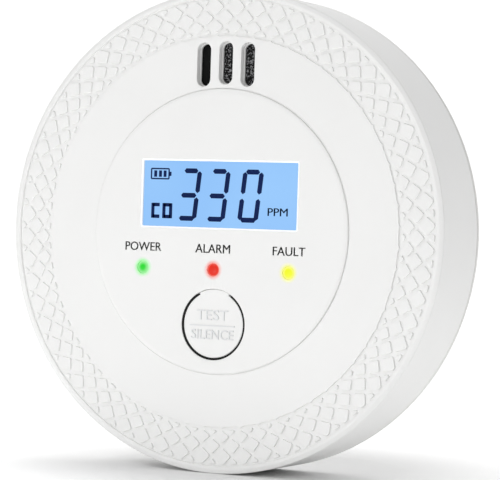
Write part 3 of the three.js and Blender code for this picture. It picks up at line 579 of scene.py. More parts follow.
def foam_plug(x, z, width, length, rough_mm):
    """Rings shrink from the slot's wall to its middle line: y = front + dome + rough * torn."""
    outline = rectangle(width, length, x, z, width / 2, 14)
    spine = np.column_stack((np.full(len(outline), x),
                             np.clip(outline[:, 1], z - length / 2 + width / 2,
                                     z + length / 2 - width / 2)))
    rings = [at(outline, float(foam_low[1]) + 0.1)]
    for s in np.linspace(0, 1, 15):
        flat = outline + (spine - outline) * s
        a, b = flat[:, 0], flat[:, 1]
        torn = (np.sin(9.1 * a + 2.0 * np.sin(7.3 * b)) + np.sin(11.7 * b + 1.5 * a)
                + np.sin(23.0 * a - 17.0 * b)) / 3
        rings.append(at(flat, FOAM_FRONT + FOAM_DOME * (1 - s) ** 4
                        + rough_mm * torn * min(1.0, 4 * s)))
    return skin(rings)


foam_size, foam_middle = foam_high - foam_low, (foam_high + foam_low) / 2
foam_plate = rectangle(foam_size[0], foam_size[2], foam_middle[0], foam_middle[2], 1.0, 4)
foam_ends = (float(foam_low[1]), float(foam_high[1]))
plugs = [foam_plug(x, z, VENT_WIDTH - 2 * FOAM_GAP, length - 2 * FOAM_GAP, rough)
         for (x, z, length), rough in zip(VENTS, (0.02, 0.14, 0.18))]
foam_surfaces = [*plate(foam_plate, *foam_ends), *plugs[1:]]
black_foam = moulded_plastic("black reticulated foam", "8c8c8e", "040404", 0.7, 0.3, 0.15,
                             cloud_mm=0.36, specular=0.15, spread=(0.52, 0.62))
dense_foam = moulded_plastic("black dense foam", "141415", "040404", 0.7, 0.3, 0.02,
                             specular=0.1)
make_piece("foam_side_plug", [plugs[0]], dense_foam, "detector")
make_piece("foam_dust_filter", foam_surfaces, black_foam, "detector",
           ["dust_filter"], smooth=60)

# %% [markdown]
# The test button is a separate disc that tips on its hinge. Its outline is a circle whose
# radius steps out at the top, where the hinge fills the slot up to a hairline. The rest of
# the slot shows black: a black band of painted shade lies in it, just under the surface, for
# the shadow deep in the gap.

# %% Test button
stem_y = float(node_box("test_button")[1][1])
BUTTON_Y = DISC_Y + 0.2
BUTTON_BACK, BUTTON_ROUND = DISC_Y + 1.6, 0.16
hinge_arc = np.linspace(90 - HINGE_HALF_ANGLE, 90 + HINGE_HALF_ANGLE, 25)
plain_arc = np.linspace(90 + HINGE_HALF_ANGLE, 450 - HINGE_HALF_ANGLE, 120)
button_middle = np.array([BUTTON_X, BUTTON_Z])
button_edge = button_middle + np.concatenate((
    np.column_stack(polar(BUTTON_RADIUS + BUTTON_SLOT - HAIRLINE, hinge_arc)),
    np.column_stack(polar(BUTTON_RADIUS, plain_arc))))
button_rings = [at(grown(button_edge, -BUTTON_ROUND * (1 - math.sin(a))),
                   BUTTON_Y + BUTTON_ROUND * (1 - math.cos(a)))
                for a in np.radians(np.linspace(0, 90, 5))]
button_rings.append(at(button_edge, BUTTON_BACK))
stem = circle(1.6, 40, BUTTON_X, BUTTON_Z)
button_surfaces = [
    flat_sheet(button_rings[0][:, [0, 2]], [], BUTTON_Y), skin(button_rings),
    flat_sheet(button_edge, [stem], BUTTON_BACK),
    *cup(stem, BUTTON_BACK, stem_y),
]
make_piece("test_button_cap", button_surfaces, white_abs, "test_button",
           ["test_button"])

# %% Painted shade in the button slot
# Painted shade: a black band stands in for the shadow deep in the button's slot.
slot_shade_band = button_middle + arc_band(BUTTON_RADIUS + 0.08, BUTTON_RADIUS + BUTTON_SLOT - 0.03,
                                  plain_arc[2:-2])
slot_shade_ends = (DISC_Y + 0.1, INSIDE_Y - 0.3)
slot_shade_black = moulded_plastic("black painted shade in the button slot", "0c0c0c", "080808", 0.9, 0.4)
make_piece("button_slot_painted_shade",
           [*[flat_sheet(slot_shade_band, [], y) for y in slot_shade_ends], tube(slot_shade_band, *slot_shade_ends)],
           slot_shade_black, "detector")

# %% [markdown]
# The lettering is plain function words in a simple sans. Text objects are turned into meshes
# first, fitted to a measured width and height, and only then put in place. The words over the
# lights are printed, so they are very thin. Those on the button stand up from the plastic, and
# their slightly grey tone is painted shade for the shadow along the letters' edges.

# %% Lettering
def letter_surfaces(words, width, height, x, z, y_front, y_back, weight=0.0):
    """The default sans outlines, stretched to width by height and centred on (x, z)."""
    curve = bpy.data.curves.new("letters", "FONT")
    curve.body = words
    curve.extrude = 0.5
    curve.offset = weight
    curve.resolution_u = 4
    text = placed("letters", curve)
    bpy.context.view_layer.update()
    mesh = text.evaluated_get(bpy.context.evaluated_depsgraph_get()).to_mesh()
    co = np.empty(len(mesh.vertices) * 3)
    mesh.vertices.foreach_get("co", co)
    co = co.reshape(-1, 3)
    faces = [list(p.vertices) for p in mesh.polygons]
    text.to_mesh_clear()
    bpy.data.objects.remove(text)
    low, high = co.min(0), co.max(0)
    s = (co - low) / (high - low)
    points = np.column_stack((x + (s[:, 0] - 0.5) * width,
                              y_back + s[:, 2] * (y_front - y_back),
                              z + (s[:, 1] - 0.5) * height))
    return points, faces


PRINT_SPREAD = 0.04
print_ink = moulded_plastic("dark grey pad-printed ink", "1c1d1f", "151618", 0.6, 0.2, 0.001,
                            specular=0.1)
LABELS = (("POWER", 8.6, -17.5), ("ALARM", 8.1, -1.05), ("FAULT", 7.35, 16.5))
label_surfaces = [letter_surfaces(word, width, 1.8, x + dx, -3.6, DISC_Y, DISC_Y + 0.03)
                  for word, width, x in LABELS for dx in (-PRINT_SPREAD, PRINT_SPREAD)]
make_piece("light_labels", label_surfaces, print_ink, "detector")
# Painted shade: the letters are a shade greyer than the button, for the shadow at their edges.
raised_letters_painted_shade = moulded_plastic("raised lettering, duller, greyer as painted shade", "e7e8e9", "dfe0e1",
                                0.55, 0.3, 0.001)
relief = (DISC_Y, BUTTON_Y + 0.1)
rule = rectangle(10.5, 0.22, -0.68, -19.5, 0.1, 2)
button_words = [
    letter_surfaces("TEST", 7.3, 2.1, -0.7, -17.3, *relief, -0.004),
    letter_surfaces("SILENCE", 9.8, 2.0, -0.56, -21.3, *relief, -0.004), *plate(rule, *relief),
]
make_piece("button_lettering", button_words, raised_letters_painted_shade, "test_button")

# %% [markdown]
# The three lights are clear acrylic rods with a low dome, lit from behind by small LEDs. The
# light comes out of the dome, so the finish is a glossy plastic that also glows.

# %% Light pipes
def glowing_acrylic(name, glow_hex, core_hex):
    """Glossy plastic with emission. A small noise keeps the glow from being dead even."""
    material, tree = new_material(name)
    place = add_node(tree, "ShaderNodeTexCoord").outputs["Object"]
    haze = add_node(tree, "ShaderNodeTexNoise", None, {"Scale": 1 / (1.5 * MM), "Detail": 1.0},
                    {"Vector": place})
    glow = add_node(tree, "ShaderNodeValToRGB", None, None, {"Fac": haze.outputs["Fac"]},
                    [(0.3, glow_hex), (0.75, core_hex)])
    shader = add_node(tree, "ShaderNodeBsdfPrincipled", None,
                      {"Base Color": linear("060606"), "IOR": 1.49, "Roughness": 0.3,
                       "Specular IOR Level": 0.2, "Emission Strength": 1.0},
                      {"Emission Color": glow.outputs["Color"]})
    add_node(tree, "ShaderNodeOutputMaterial", None, None, {"Surface": shader.outputs["BSDF"]})
    return material


LIGHT_LOOKS = {
    # slot, edge colours, centre colour, where the centre colour starts and stops to fade
    "power": ("green_light", ("a8f2a8", "b4f6b2"), "2edc36", 0.35, 1.45),
    "alarm": ("red_light", ("f48474", "f89080"), "e6301f", 0.95, 1.6),
    "fault": ("yellow_light", ("fcfc90", "fefe9c"), "f4fa2c", 0.6, 1.5),
}
DOME_RADIUS, DOME_DEPTH, FLANGE_RADIUS = 1.28, 0.40775, 1.9
flange_front = INSIDE_Y + 0.3
for light, x in LIGHTS.items():
    slot, edges, centre, fade_start, fade_end = LIGHT_LOOKS[light]
    colour_name = slot.replace("_", " ")
    finish = glowing_acrylic(f"{colour_name} pipe", *edges)
    add_halos(finish, [(x, DISC_Y, LIGHT_Z)], [centre], fade_start, fade_end, 1.0,
              "Emission Color")
    back = float(node_box(f"light_pipe_{light}")[1][1])
    dome = [(DOME_RADIUS * math.sin(a), DISC_Y + DOME_DEPTH * (1 - math.cos(a)))
            for a in np.linspace(0, math.pi / 2, 7)]
    profile = dome + [(DOME_RADIUS, flange_front), (FLANGE_RADIUS, flange_front),
                      (FLANGE_RADIUS, back), (0, back)]
    make_piece(f"{light}_light_pipe", [turned(profile, 40, x, LIGHT_Z)], finish, "detector",
               [f"light_pipe_{light}"])

# %% [markdown]
# The display is a pane of glass over a blue backlight. Its dark figures are seven-segment
# strokes with pointed ends. They lean a little, and each stroke is a six-sided outline between
# two end points.

# %% Display pane
def display_finish():
    """A glowing blue whose tone drifts by a slow noise, under a glossy polariser."""
    material, tree = new_material("blue backlit display film")
    place = add_node(tree, "ShaderNodeTexCoord").outputs["Object"]
    slow = add_node(tree, "ShaderNodeTexNoise", None, {"Scale": 1 / (24 * MM), "Detail": 1.0},
                    {"Vector": place})
    blue = add_node(tree, "ShaderNodeValToRGB", None, None, {"Fac": slow.outputs["Fac"]},
                    [(0.3, "8fc3fb"), (0.7, "9bcdff")])
    shader = add_node(tree, "ShaderNodeBsdfPrincipled", None,
                      {"Base Color": linear("10203a"), "IOR": 1.5, "Roughness": 0.25,
                       "Emission Strength": 0.92},
                      {"Emission Color": blue.outputs["Color"]})
    add_node(tree, "ShaderNodeOutputMaterial", None, None, {"Surface": shader.outputs["BSDF"]})
    return material


GLASS_FRONT = float(glass_low[1])
GLASS_BACK = float(glass_high[1])
PANE_EDGE = 0.15
glass_size = glass_high - glass_low
pane = rectangle(glass_size[0], glass_size[2], 0, (glass_high[2] + glass_low[2]) / 2, 0.3, 3)
pane_rings = [at(grown(pane, -PANE_EDGE), GLASS_FRONT), at(pane, GLASS_FRONT + PANE_EDGE),
              at(pane, GLASS_BACK - PANE_EDGE), at(grown(pane, -PANE_EDGE), GLASS_BACK)]
make_piece("display_pane", [lid(pane_rings[0]), skin(pane_rings), lid(pane_rings[-1])],
           display_finish(), "detector", ["lcd_glass"])

# %% [markdown]
# Round the window runs a thin sloping edge. A weak white glow on it is a painted highlight,
# so it reads as a fine bright frame. Its section is a small triangle.

# %% Painted highlight: bright edge round the display
edge_painted_highlight = moulded_plastic("white edge, painted highlight glow", "fbfcff", "f8faff", 0.3, 0.4, 0.001)
edge_shader = next(n for n in edge_painted_highlight.node_tree.nodes if n.type == "BSDF_PRINCIPLED")
# Painted highlight: a weak white emission makes the edge read as a bright frame.
edge_shader.inputs["Emission Color"].default_value = linear("ffffff")
edge_shader.inputs["Emission Strength"].default_value = 0.16
edge_outer = grown(window, -0.02)
edge_inner = grown(opening, 0.02)
edge_rings = [at(edge_outer, DISC_Y + 0.02), at(edge_inner, DISC_Y + 0.2),
              at(edge_inner, DISC_Y + 0.33), at(edge_outer, DISC_Y + 0.02)]
make_piece("display_edge_painted_highlight", [skin(edge_rings)], edge_painted_highlight, "detector")

# %% Display figures
STROKE, SMALL_STROKE = 1.02, 0.74
INK_LEVELS = (GLASS_FRONT - 0.06, GLASS_FRONT + 0.02)
SEGMENTS = {
    "top": ((-3.75, 12.4), (-0.5, 12.4)), "middle": ((-4.4, 7.3), (-0.8, 7.3)),
    "bottom": ((-4.75, 2.5), (-1.2, 2.5)),
    "upper right": ((-0.12, 12.35), (-0.6, 7.8)), "lower right": ((-0.72, 6.9), (-1.2, 2.45)),
    "upper left": ((-3.87, 12.35), (-4.35, 7.8)), "lower left": ((-4.45, 6.9), (-4.93, 2.45)),
}
FIGURES = {"3": ("top", "middle", "bottom", "upper right", "lower right"),
           "0": ("top", "bottom", "upper right", "lower right", "upper left", "lower left")}


def stroke(start, end, width, point=0.42):
    """A bar between two points, as wide as width, with ends cut to a point."""
    start, end = np.array(start, float), np.array(end, float)
    along = (end - start) / np.linalg.norm(end - start)
    across = np.array([-along[1], along[0]]) * width / 2
    return np.array([start, start + along * point - across, end - along * point - across,
                     end, end - along * point + across, start + along * point + across])


figure_surfaces = []
for figure, right in (("3", -4.96), ("3", 1.74), ("0", 9.42)):
    for name in FIGURES[figure]:
        a, b = SEGMENTS[name]
        outline = stroke((a[0] + right, a[1]), (b[0] + right, b[1]), STROKE)
        figure_surfaces += plate(outline, *INK_LEVELS)
LOW, HIGH, OVERRUN = 2.75, 5.2, 0.36
for left, right, closed in ((-16.0, -14.4, False), (-13.35, -11.75, True)):
    bars = [((left, LOW - OVERRUN), (left, HIGH + OVERRUN)), ((left, HIGH), (right, HIGH)),
            ((left, LOW), (right, LOW))]
    if closed:
        bars.append(((right, LOW - OVERRUN), (right, HIGH + OVERRUN)))
    for a, b in bars:
        figure_surfaces += plate(stroke(a, b, SMALL_STROKE, 0.03), *INK_LEVELS)
BATTERY_Z = 11.68
frame_outer = rectangle(4.5, 2.4, -14.5, BATTERY_Z, 0.3, 3)
frame_inner = grown(frame_outer, -0.3)
front, back = INK_LEVELS
figure_surfaces.append(skin([at(frame_outer, back), at(frame_outer, front),
                             at(frame_inner, front), at(frame_inner, back),
                             at(frame_outer, back)]))
figure_surfaces += plate(rectangle(0.45, 0.9, -12.05, BATTERY_Z, 0.1, 2), *INK_LEVELS)
for x in (-15.6, -14.45, -13.35):
    figure_surfaces += plate(rectangle(0.68, 1.35, x, BATTERY_Z, 0.05, 2), *INK_LEVELS)
figure_surfaces += [letter_surfaces("PPM", 4.55, 1.6, x, 4.3, *INK_LEVELS)
                    for x in (13.2, 13.2 + PRINT_SPREAD)]
segment_ink = moulded_plastic("dark liquid crystal segments", "0c2254", "091c48", 0.6, 0.3,
                              0.0005, specular=0.08)
make_piece("display_figures", figure_surfaces, segment_ink, "detector")

# %% [markdown]
# The back is built the same way. The rear cover is a plate with a rim flange and a hub, three
# lugs that lock into the bracket, four sunk screw seats and a well for the cells. Its levels
# are read from the frame where they can be, and the rest are the wall thicknesses.

# %% Rear cover
rear_low, rear_high = node_box("rear_cover")
HUB_Y = float(rear_high[1])
WELL_FRONT = float(rear_low[1])
HUB_RADIUS = 33.78
PLATE_BACK, PLATE_FRONT = HUB_Y - 2.3, HUB_Y - 3.8
FLANGE_BACK, FLANGE_FRONT = HUB_Y - 0.4, HUB_Y - 1.4
RING_OUTER, SEAT_RADIUS = CASE_RADIUS - 2.3, CASE_RADIUS - 3.7
LEDGE_Y, RECESS_EASE = HUB_Y - 1.6, 0.2
recess = rounded([(-26.05, -17.85), (-5.6, -17.85), (-5.6, -20.15), (5.6, -20.15),
                  (5.6, -17.85), (26.05, -17.85), (26.05, 17.85), (20.3, 17.85),
                  (20.3, 20.85), (-20.3, 20.85), (-20.3, 17.85), (-26.05, 17.85)], 0.35, 3)
trough = rectangle(40.4, 2.7, 0, 19.4, 0.2, 2)
cavity = rectangle(49.7, 33.3, 0, 0, 0.5, 3)
well_outer = rectangle(51.7, 35.3, 0, 0, 1.2, 4)
seats, bores, bosses = ([circle(radius, 40, x, z) for x, z in CASE_SCREWS]
                        for radius in (2.7, 1.45, 3.7))
SEAT_EASE, SEAT_FLOOR, BOSS_FRONT = 0.15, PLATE_BACK - 2.5, PLATE_BACK - 3.5
LUG_RADIUS, LUG_EASE, LUG_BACK, LUG_FRONT = 36.18, 0.12, HUB_Y - 0.02, HUB_Y - 0.8
hub = circle(HUB_RADIUS)
rear_surfaces = [
    flat_sheet(circle(HUB_RADIUS - 0.25), [grown(recess, RECESS_EASE)], HUB_Y),
    eased_wall(recess, RECESS_EASE, HUB_Y, LEDGE_Y),
    flat_sheet(recess, [trough, cavity], LEDGE_Y),
    *cup(trough, LEDGE_Y, LEDGE_Y - 1.2), *cup(cavity, LEDGE_Y, WELL_FRONT + 1),
    turned([(HUB_RADIUS - 0.25, HUB_Y), (HUB_RADIUS, HUB_Y - 0.25), (HUB_RADIUS, PLATE_BACK)]),
    flat_sheet(circle(SEAT_RADIUS), [hub, *[grown(seat, SEAT_EASE) for seat in seats]],
               PLATE_BACK),
    turned([(SEAT_RADIUS, PLATE_BACK), (SEAT_RADIUS, FLANGE_BACK - 0.15),
            (SEAT_RADIUS + 0.15, FLANGE_BACK), (CASE_RADIUS - 0.3, FLANGE_BACK),
            (CASE_RADIUS, FLANGE_BACK - 0.3), (CASE_RADIUS, FLANGE_FRONT + 0.1),
            (CASE_RADIUS - 0.1, FLANGE_FRONT), (RING_OUTER, FLANGE_FRONT),
            (RING_OUTER, PLATE_FRONT)]),
    flat_sheet(circle(RING_OUTER), [well_outer, *bosses], PLATE_FRONT),
    *cup(well_outer, PLATE_FRONT, WELL_FRONT),
]
for seat, bore, boss in zip(seats, bores, bosses):
    rear_surfaces += [
        eased_wall(seat, SEAT_EASE, PLATE_BACK, SEAT_FLOOR), flat_sheet(seat, [bore], SEAT_FLOOR),
        tube(bore, SEAT_FLOOR, BOSS_FRONT), flat_sheet(boss, [bore], BOSS_FRONT),
        tube(boss, BOSS_FRONT, PLATE_FRONT),
    ]
for middle in (30, 150, 270):
    lug = arc_band(HUB_RADIUS - 1, LUG_RADIUS, np.linspace(middle - 7, middle + 7, 14))
    rear_surfaces += [flat_sheet(grown(lug, -LUG_EASE), [], LUG_BACK),
                      eased_wall(lug, -LUG_EASE, LUG_BACK, LUG_FRONT),
                      flat_sheet(lug, [], LUG_FRONT)]
make_piece("rear_cover_shell", rear_surfaces, back_abs, "detector",
           ["rear_cover"])

# %% [markdown]
# The battery door hangs on a round bar along its top edge. The door is a flat outline with
# eased edges, the bar is a profile carried along x, and three low ribs give a grip.

# %% Battery door
DOOR_BACK = float(node_box("battery_door")[1][1])
DOOR_FRONT = DOOR_BACK - 1.2
HINGE_Y, HINGE_Z = DOOR_BACK - 1.2, 19.05
SHOULDER_Z = HINGE_Z - 1.92


def bar_along_x(profile, y, z, steps=40):
    """A profile of (radius, x) pairs carried round a line along x through (y, z)."""
    t = np.arange(steps) * 2 * np.pi / steps
    rings = [np.column_stack((np.full(steps, x), y + max(r, 1e-4) * np.cos(t),
                              z + max(r, 1e-4) * np.sin(t))) for r, x in profile]
    return skin(rings)


def eased_plate(outline, y_back, y_front, ease=0.2):
    """A plate whose back and front edges are cut back by a small chamfer."""
    face = grown(outline, -ease)
    rings = [at(face, y_back), at(outline, y_back - ease), at(outline, y_front + ease),
             at(face, y_front)]
    return [flat_sheet(face, [], y_back), skin(rings), flat_sheet(face, [], y_front)]


door_outline = rounded([(-25.75, -17.55), (-5, -17.55), (-5, -19.85), (5, -19.85), (5, -17.55),
                        (25.75, -17.55), (25.75, SHOULDER_Z), (20, SHOULDER_Z), (20, HINGE_Z),
                        (-20, HINGE_Z), (-20, SHOULDER_Z), (-25.75, SHOULDER_Z)], 0.4, 3)
door_surfaces = eased_plate(door_outline, DOOR_BACK, DOOR_FRONT)
hinge_bar = [(0, -21.8), (0.7, -21.8), (0.8, -21.7), (0.8, -20), (1.2, -20), (1.2, 20),
             (0.8, 20), (0.8, 21.7), (0.7, 21.8), (0, 21.8)]
door_surfaces.append(bar_along_x(hinge_bar, HINGE_Y, HINGE_Z))
for z in (-15.4, -14.1, -12.8):
    rib = rectangle(14, 0.6, 0, z, 0.3, 4)
    door_surfaces += eased_plate(rib, DOOR_BACK + 0.22, DOOR_BACK - 0.3, 0.1)
make_piece("battery_door_panel", door_surfaces, back_abs, "battery_door",
           ["battery_door"])

# %% [markdown]
# The bracket is a flat ring. Behind it three pockets hold the lugs, and three notches let
# them in, so its inner outline is a radius that steps in and out with the angle. Four slots
# take wall screws, each sunk so that a screw head lies below the front.

# %% Wall bracket
BRACKET_OUTER, BRACKET_INNER, BRACKET_EASE, POCKET_RADIUS = 46.0, 34.08, 0.3, 36.48
BRACKET_FRONT = float(node_box("mounting_bracket")[0][1])
ring_angle = np.arange(720) * 0.5


def stepped_ring(low, high, start, end, trim=0.0):
    """Radius = low, and high between the start and end angles of each third of the ring."""
    local = (ring_angle - start) % 120
    inside = np.clip((end - start - local) / 0.25, 0, 1) * np.clip(local / 0.25, 0, 1)
    return np.column_stack(polar(low + (high - low) * inside - trim, ring_angle))


LUG_ANGLE, ENTRY_ANGLE, NOTCH_HALF = 30, 45, 7.7
pocket_edge = stepped_ring(BRACKET_INNER, POCKET_RADIUS, LUG_ANGLE - NOTCH_HALF,
                           ENTRY_ANGLE + NOTCH_HALF)
entry_edge = stepped_ring(BRACKET_INNER, POCKET_RADIUS, ENTRY_ANGLE - NOTCH_HALF,
                          ENTRY_ANGLE + NOTCH_HALF, 0.03)
SLOT_PLACE, POCKET_FLOOR, HEAD_SEAT, WALL_Y = 41.24, -1.5, -1.2, 0.0
bracket_edge = circle(BRACKET_OUTER - BRACKET_EASE)
slots, reliefs = [], []
for x, z, width, length in ((SLOT_PLACE, 0, 3.8, 9), (-SLOT_PLACE, 0, 3.8, 9),
                            (0, SLOT_PLACE, 9, 3.8), (0, -SLOT_PLACE, 9, 3.8)):
    slots.append(rectangle(width, length, x, z, 1.9, 10))
    reliefs.append(rectangle(width + 3.2, length + 3.2, x, z, 3.5, 10))
bracket_surfaces = [
    flat_sheet(bracket_edge, [pocket_edge, *slots], WALL_Y),
    turned([(BRACKET_OUTER - BRACKET_EASE, WALL_Y), (BRACKET_OUTER, WALL_Y - BRACKET_EASE),
            (BRACKET_OUTER, BRACKET_FRONT + BRACKET_EASE),
            (BRACKET_OUTER - BRACKET_EASE, BRACKET_FRONT)]),
    tube(pocket_edge, WALL_Y, POCKET_FLOOR), flat_sheet(pocket_edge, [entry_edge], POCKET_FLOOR),
    tube(entry_edge, POCKET_FLOOR, BRACKET_FRONT),
    flat_sheet(bracket_edge, [entry_edge, *reliefs], BRACKET_FRONT),
]
for slot, relief in zip(slots, reliefs):
    bracket_surfaces += [tube(relief, BRACKET_FRONT, HEAD_SEAT),
                         flat_sheet(relief, [slot], HEAD_SEAT), tube(slot, HEAD_SEAT, WALL_Y)]
make_piece("wall_bracket_ring", bracket_surfaces, back_abs, "wall_bracket",
           ["mounting_bracket"])

# %% [markdown]
# The pieces inside keep their measured shapes and only need their finishes. Each is a common
# workshop material: glass-fibre board with solder mask, plated steel, brass, rubber and felt.
# Metals get fine brushing from a noise that is stretched along one axis.

# %% A metal finish
def drawn_metal(name, light_hex, dark_hex, roughness):
    """Noise stretched twelve times along x gives fine lines in tone, gloss and bump."""
    material, tree = new_material(name)
    place = add_node(tree, "ShaderNodeTexCoord").outputs["Object"]
    pulled = add_node(tree, "ShaderNodeMapping", None, {"Scale": (1 / 12, 1, 1)},
                      {"Vector": place})
    lines = add_node(tree, "ShaderNodeTexNoise", None,
                     {"Scale": 1 / (0.08 * MM), "Detail": 4.0},
                     {"Vector": pulled.outputs["Vector"]})
    tone = add_node(tree, "ShaderNodeValToRGB", None, None, {"Fac": lines.outputs["Fac"]},
                    [(0.3, dark_hex), (0.7, light_hex)])
    gloss = add_node(tree, "ShaderNodeMapRange", None,
                     {"To Min": roughness - 0.06, "To Max": roughness + 0.08},
                     {"Value": lines.outputs["Fac"]})
    bump = add_node(tree, "ShaderNodeBump", None, {"Strength": 0.6, "Distance": 0.002 * MM},
                    {"Height": lines.outputs["Fac"]})
    shader = add_node(tree, "ShaderNodeBsdfPrincipled", None, {"Metallic": 1.0},
                      {"Base Color": tone.outputs["Color"], "Normal": bump.outputs["Normal"],
                       "Roughness": gloss.outputs["Result"]})
    add_node(tree, "ShaderNodeOutputMaterial", None, None, {"Surface": shader.outputs["BSDF"]})
    return material


# %% A circuit board finish
def board_finish():
    """Straight tracks: a brick pattern's joints are a little darker and raised like the
    copper under the green solder mask."""
    material, tree = new_material("green solder mask on glass-fibre board")
    place = add_node(tree, "ShaderNodeTexCoord").outputs["Object"]
    upright = add_node(tree, "ShaderNodeMapping", None, {"Rotation": (math.pi / 2, 0, 0)},
                       {"Vector": place})
    tracks = add_node(tree, "ShaderNodeTexBrick", {"offset": 0.37, "squash": 0.6},
                      {"Scale": 1.0, "Color1": linear("15713a"), "Color2": linear("126534"),
                       "Mortar": linear("2f9557"), "Mortar Size": 0.35 * MM,
                       "Mortar Smooth": 0.2, "Brick Width": 9 * MM, "Row Height": 2.2 * MM},
                      {"Vector": upright.outputs["Vector"]})
    bump = add_node(tree, "ShaderNodeBump", None, {"Strength": 0.5, "Distance": 0.04 * MM},
                    {"Height": tracks.outputs["Fac"]})
    shader = add_node(tree, "ShaderNodeBsdfPrincipled", None, {"IOR": 1.5, "Roughness": 0.32},
                      {"Base Color": tracks.outputs["Color"], "Normal": bump.outputs["Normal"]})
    add_node(tree, "ShaderNodeOutputMaterial", None, None, {"Surface": shader.outputs["BSDF"]})
    return material


# %% Finishes for the pieces inside
inside_finishes = {
    "plated steel": drawn_metal("zinc-plated steel", "c9ccd0", "a9adb2", 0.34),
    "tin plate": drawn_metal("tin-plated steel strip", "d4d6d8", "bcbfc3", 0.3),
    "brass": drawn_metal("rolled brass", "d2ab5c", "bb9246", 0.32),
    "board": board_finish(),
    "chip": moulded_plastic("black epoxy moulding", "232425", "1c1d1e", 0.55, 0.25, 0.004),
    "rubber": moulded_plastic("black silicone rubber", "1e1e1e", "191919", 0.7, 0.4, 0.004),
    "filter": moulded_plastic("white filter felt", "e8e8e4", "d2d2cc", 0.9, 0.4, 0.08,
                              cloud_mm=0.9),
    "acrylic": moulded_plastic("frosted acrylic light guide", "dfe9f8", "d2def2", 0.35),
    "jacket": moulded_plastic("shrunk plastic battery jacket", "2c3a4a", "263341", 0.3, 1.2,
                              0.003, cloud_mm=9, coat=0.4),
    "green lamp": glowing_acrylic("green diode", "3bd048", "50e35c"),
    "red lamp": glowing_acrylic("red diode", "d42a1c", "e63a2a"),
    "yellow lamp": glowing_acrylic("yellow diode", "e2e62a", "f2f640"),
    "white": back_abs,
}
NODE_FINISHES = {
    "white": ("sounder_case",),
    "acrylic": ("lcd_backlight",), "rubber": ("lcd_connector_strip",),
    "green lamp": ("led_power",), "red lamp": ("led_alarm",), "yellow lamp": ("led_fault",),
    "board": ("circuit_board",),
    "chip": ("button_switch", "switch_plunger", "microcontroller", "capacitor", "sounder_coil"),
    "plated steel": ("board_screw", "case_screw", "co_sensor", "battery_spring"),
    "tin plate": ("contact_",), "brass": ("piezo_disc",), "filter": ("sensor_filter",),
    "jacket": ("battery_1", "battery_2", "battery_3"),
}
for finish, starts in NODE_FINISHES.items():
    named = [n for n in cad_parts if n.startswith(starts)]
    for n in named:
        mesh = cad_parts[n].data
        mesh.materials.clear()
        mesh.materials.append(inside_finishes[finish])
    print(finish, "on", ", ".join(named))

# %% [markdown]
# The detector stands on its rim on a plain white sweep, as in a small product studio. The sweep
# is a floor that bends up far behind the object, so that no line shows where floor and wall
# meet, and the back can be seen too. It isn't part of the object.

# %% Floor and backdrop
def studio_white():
    """Matt white paper, faintly mottled. It glows a little round the object and far behind."""
    material, tree = new_material("white studio paper")
    place = add_node(tree, "ShaderNodeTexCoord").outputs["Object"]
    mottle = add_node(tree, "ShaderNodeTexNoise", None, {"Scale": 1 / (8 * MM)},
                      {"Vector": place})
    tone = add_node(tree, "ShaderNodeValToRGB", None, None, {"Fac": mottle.outputs["Fac"]},
                    [(0.0, "f6f6f6"), (1.0, "f9f9f9")])
    spot = add_node(tree, "ShaderNodeMapping", None,
                    {"Location": (0, 0, 50 * MM)}, {"Vector": place})
    away = add_node(tree, "ShaderNodeVectorMath", {"operation": "LENGTH"}, None,
                    {"Vector": spot.outputs["Vector"]})
    far = add_node(tree, "ShaderNodeMapRange", None,
                   {"From Min": 0.0, "From Max": 1600 * MM}, {"Value": away.outputs["Value"]})
    glow = add_node(tree, "ShaderNodeValToRGB", None, None, {"Fac": far.outputs["Result"]},
                    [(0.018, "000000"), (0.038, "a6a6a6"), (0.25, "989898"), (0.6, "c4c4c4")])
    shader = add_node(tree, "ShaderNodeBsdfPrincipled", None,
                      {"Roughness": 0.9, "Specular IOR Level": 0.2, "Emission Strength": 1.0},
                      {"Base Color": tone.outputs["Color"],
                       "Emission Color": glow.outputs["Color"]})
    add_node(tree, "ShaderNodeOutputMaterial", None, None, {"Surface": shader.outputs["BSDF"]})
    return material


FLOOR_Z = -CASE_RADIUS - 0.02
SWEEP_FRONT, SWEEP_BEND, SWEEP_RADIUS, SWEEP_TOP = -1500.0, 1300.0, 300.0, 1600.0
line = [(SWEEP_FRONT, FLOOR_Z), (SWEEP_BEND, FLOOR_Z)]
line += [(SWEEP_BEND + SWEEP_RADIUS * math.sin(a), FLOOR_Z + SWEEP_RADIUS * (1 - math.cos(a)))
         for a in np.radians(np.linspace(0, 90, 13))[1:]]
line += [(SWEEP_BEND + SWEEP_RADIUS, SWEEP_TOP)]
xs = (-2000.0, 0.0, 2000.0)
sweep_points = [(x * MM, y * MM, z * MM) for y, z in line for x in xs]
sweep_faces = [[i, i + 1, i + 4, i + 3] for r in range(len(line) - 1) for i in (3 * r, 3 * r + 1)]
sweep_mesh = bpy.data.meshes.new("studio_sweep")
sweep_mesh.from_pydata(sweep_points, [], sweep_faces)
sweep_mesh.shade_smooth()
sweep_mesh.materials.append(studio_white())
sweep = placed("studio_sweep", sweep_mesh)

# %% [markdown]
# Five lights: the key panel high on the left, a low card in front, a small card close to the
# lower edge, a weak fill on the right and a panel above from behind. A pale surround adds the
# rest. The face is then a shade brighter than the side wall, and the shadow lies under the rim.

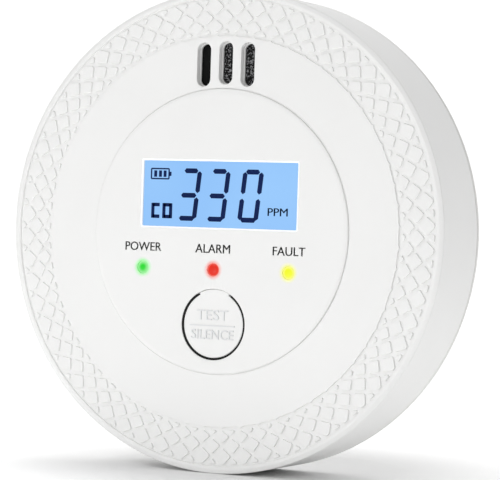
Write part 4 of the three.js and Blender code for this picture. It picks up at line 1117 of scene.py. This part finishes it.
# %% Lights
def panel(name, place, aim, size, power):
    """A square area light at a place, in millimetres, turned towards a point."""
    light = bpy.data.lights.new(name, "AREA")
    light.shape = "SQUARE"
    light.size = size * MM
    light.energy = power
    lamp = placed(name, light)
    place, aim = Vector(place) * MM, Vector(aim) * MM
    lamp.location = place
    lamp.rotation_euler = (aim - place).to_track_quat("-Z", "Y").to_euler()


panel("key panel", (-430, -800, 760), (0, 0, 0), 420, 3.05)
panel("low front card", (-60, -900, -10), (0, 0, -20), 260, 0.75)
panel("kicker card", (-30, -140, -40), (5, -20, -48), 30, 0.02)
panel("fill panel", (800, -300, 450), (0, 0, 0), 600, 0.35)
panel("top panel", (-100, 420, 900), (0, 0, -50), 700, 2.2)
world = bpy.data.worlds.new("pale surround")
bpy.context.scene.world = world
world.use_nodes = True
world.node_tree.nodes["Background"].inputs["Color"].default_value = linear("ffffff")
world.node_tree.nodes["Background"].inputs["Strength"].default_value = 0.37
# The standard view keeps white paper white, where a filmic view would grey it.
bpy.context.scene.view_settings.view_transform = "Standard"

# %% [markdown]
# The camera stands at the right, level with the case, and looks at it from 27 degrees off its
# axis with a long lens. It leans by just under two degrees. The three axes below are worked
# out from those angles, and the place is the distance back along the viewing direction.

# %% Camera
azimuth, elevation, roll = np.radians((27.143, 0.328, 1.858))
ahead = -np.array([math.sin(azimuth) * math.cos(elevation),
                   -math.cos(azimuth) * math.cos(elevation), math.sin(elevation)])
side = np.cross(ahead, (0, 0, 1))
side = side / np.linalg.norm(side)
top = np.cross(side, ahead)
right = side * math.cos(roll) + top * math.sin(roll)
above = top * math.cos(roll) - side * math.sin(roll)
DISTANCE, SHIFT_RIGHT, SHIFT_UP = 484.03, 6.425, -1.767
eye = (SHIFT_RIGHT * right + SHIFT_UP * above - DISTANCE * ahead
       + np.array([0, RING_Y, 0]))
camera_data = bpy.data.cameras.new("camera")
camera_data.lens = 168.9
camera_data.sensor_width = 36
camera_data.clip_start = 0.01
camera = placed("camera", camera_data)
axes = np.eye(4)
axes[:3, 0], axes[:3, 1], axes[:3, 2], axes[:3, 3] = right, above, -ahead, eye * MM
camera.matrix_world = Matrix(axes.tolist())
bpy.context.scene.camera = camera
print("camera at", [round(float(v), 1) for v in eye])
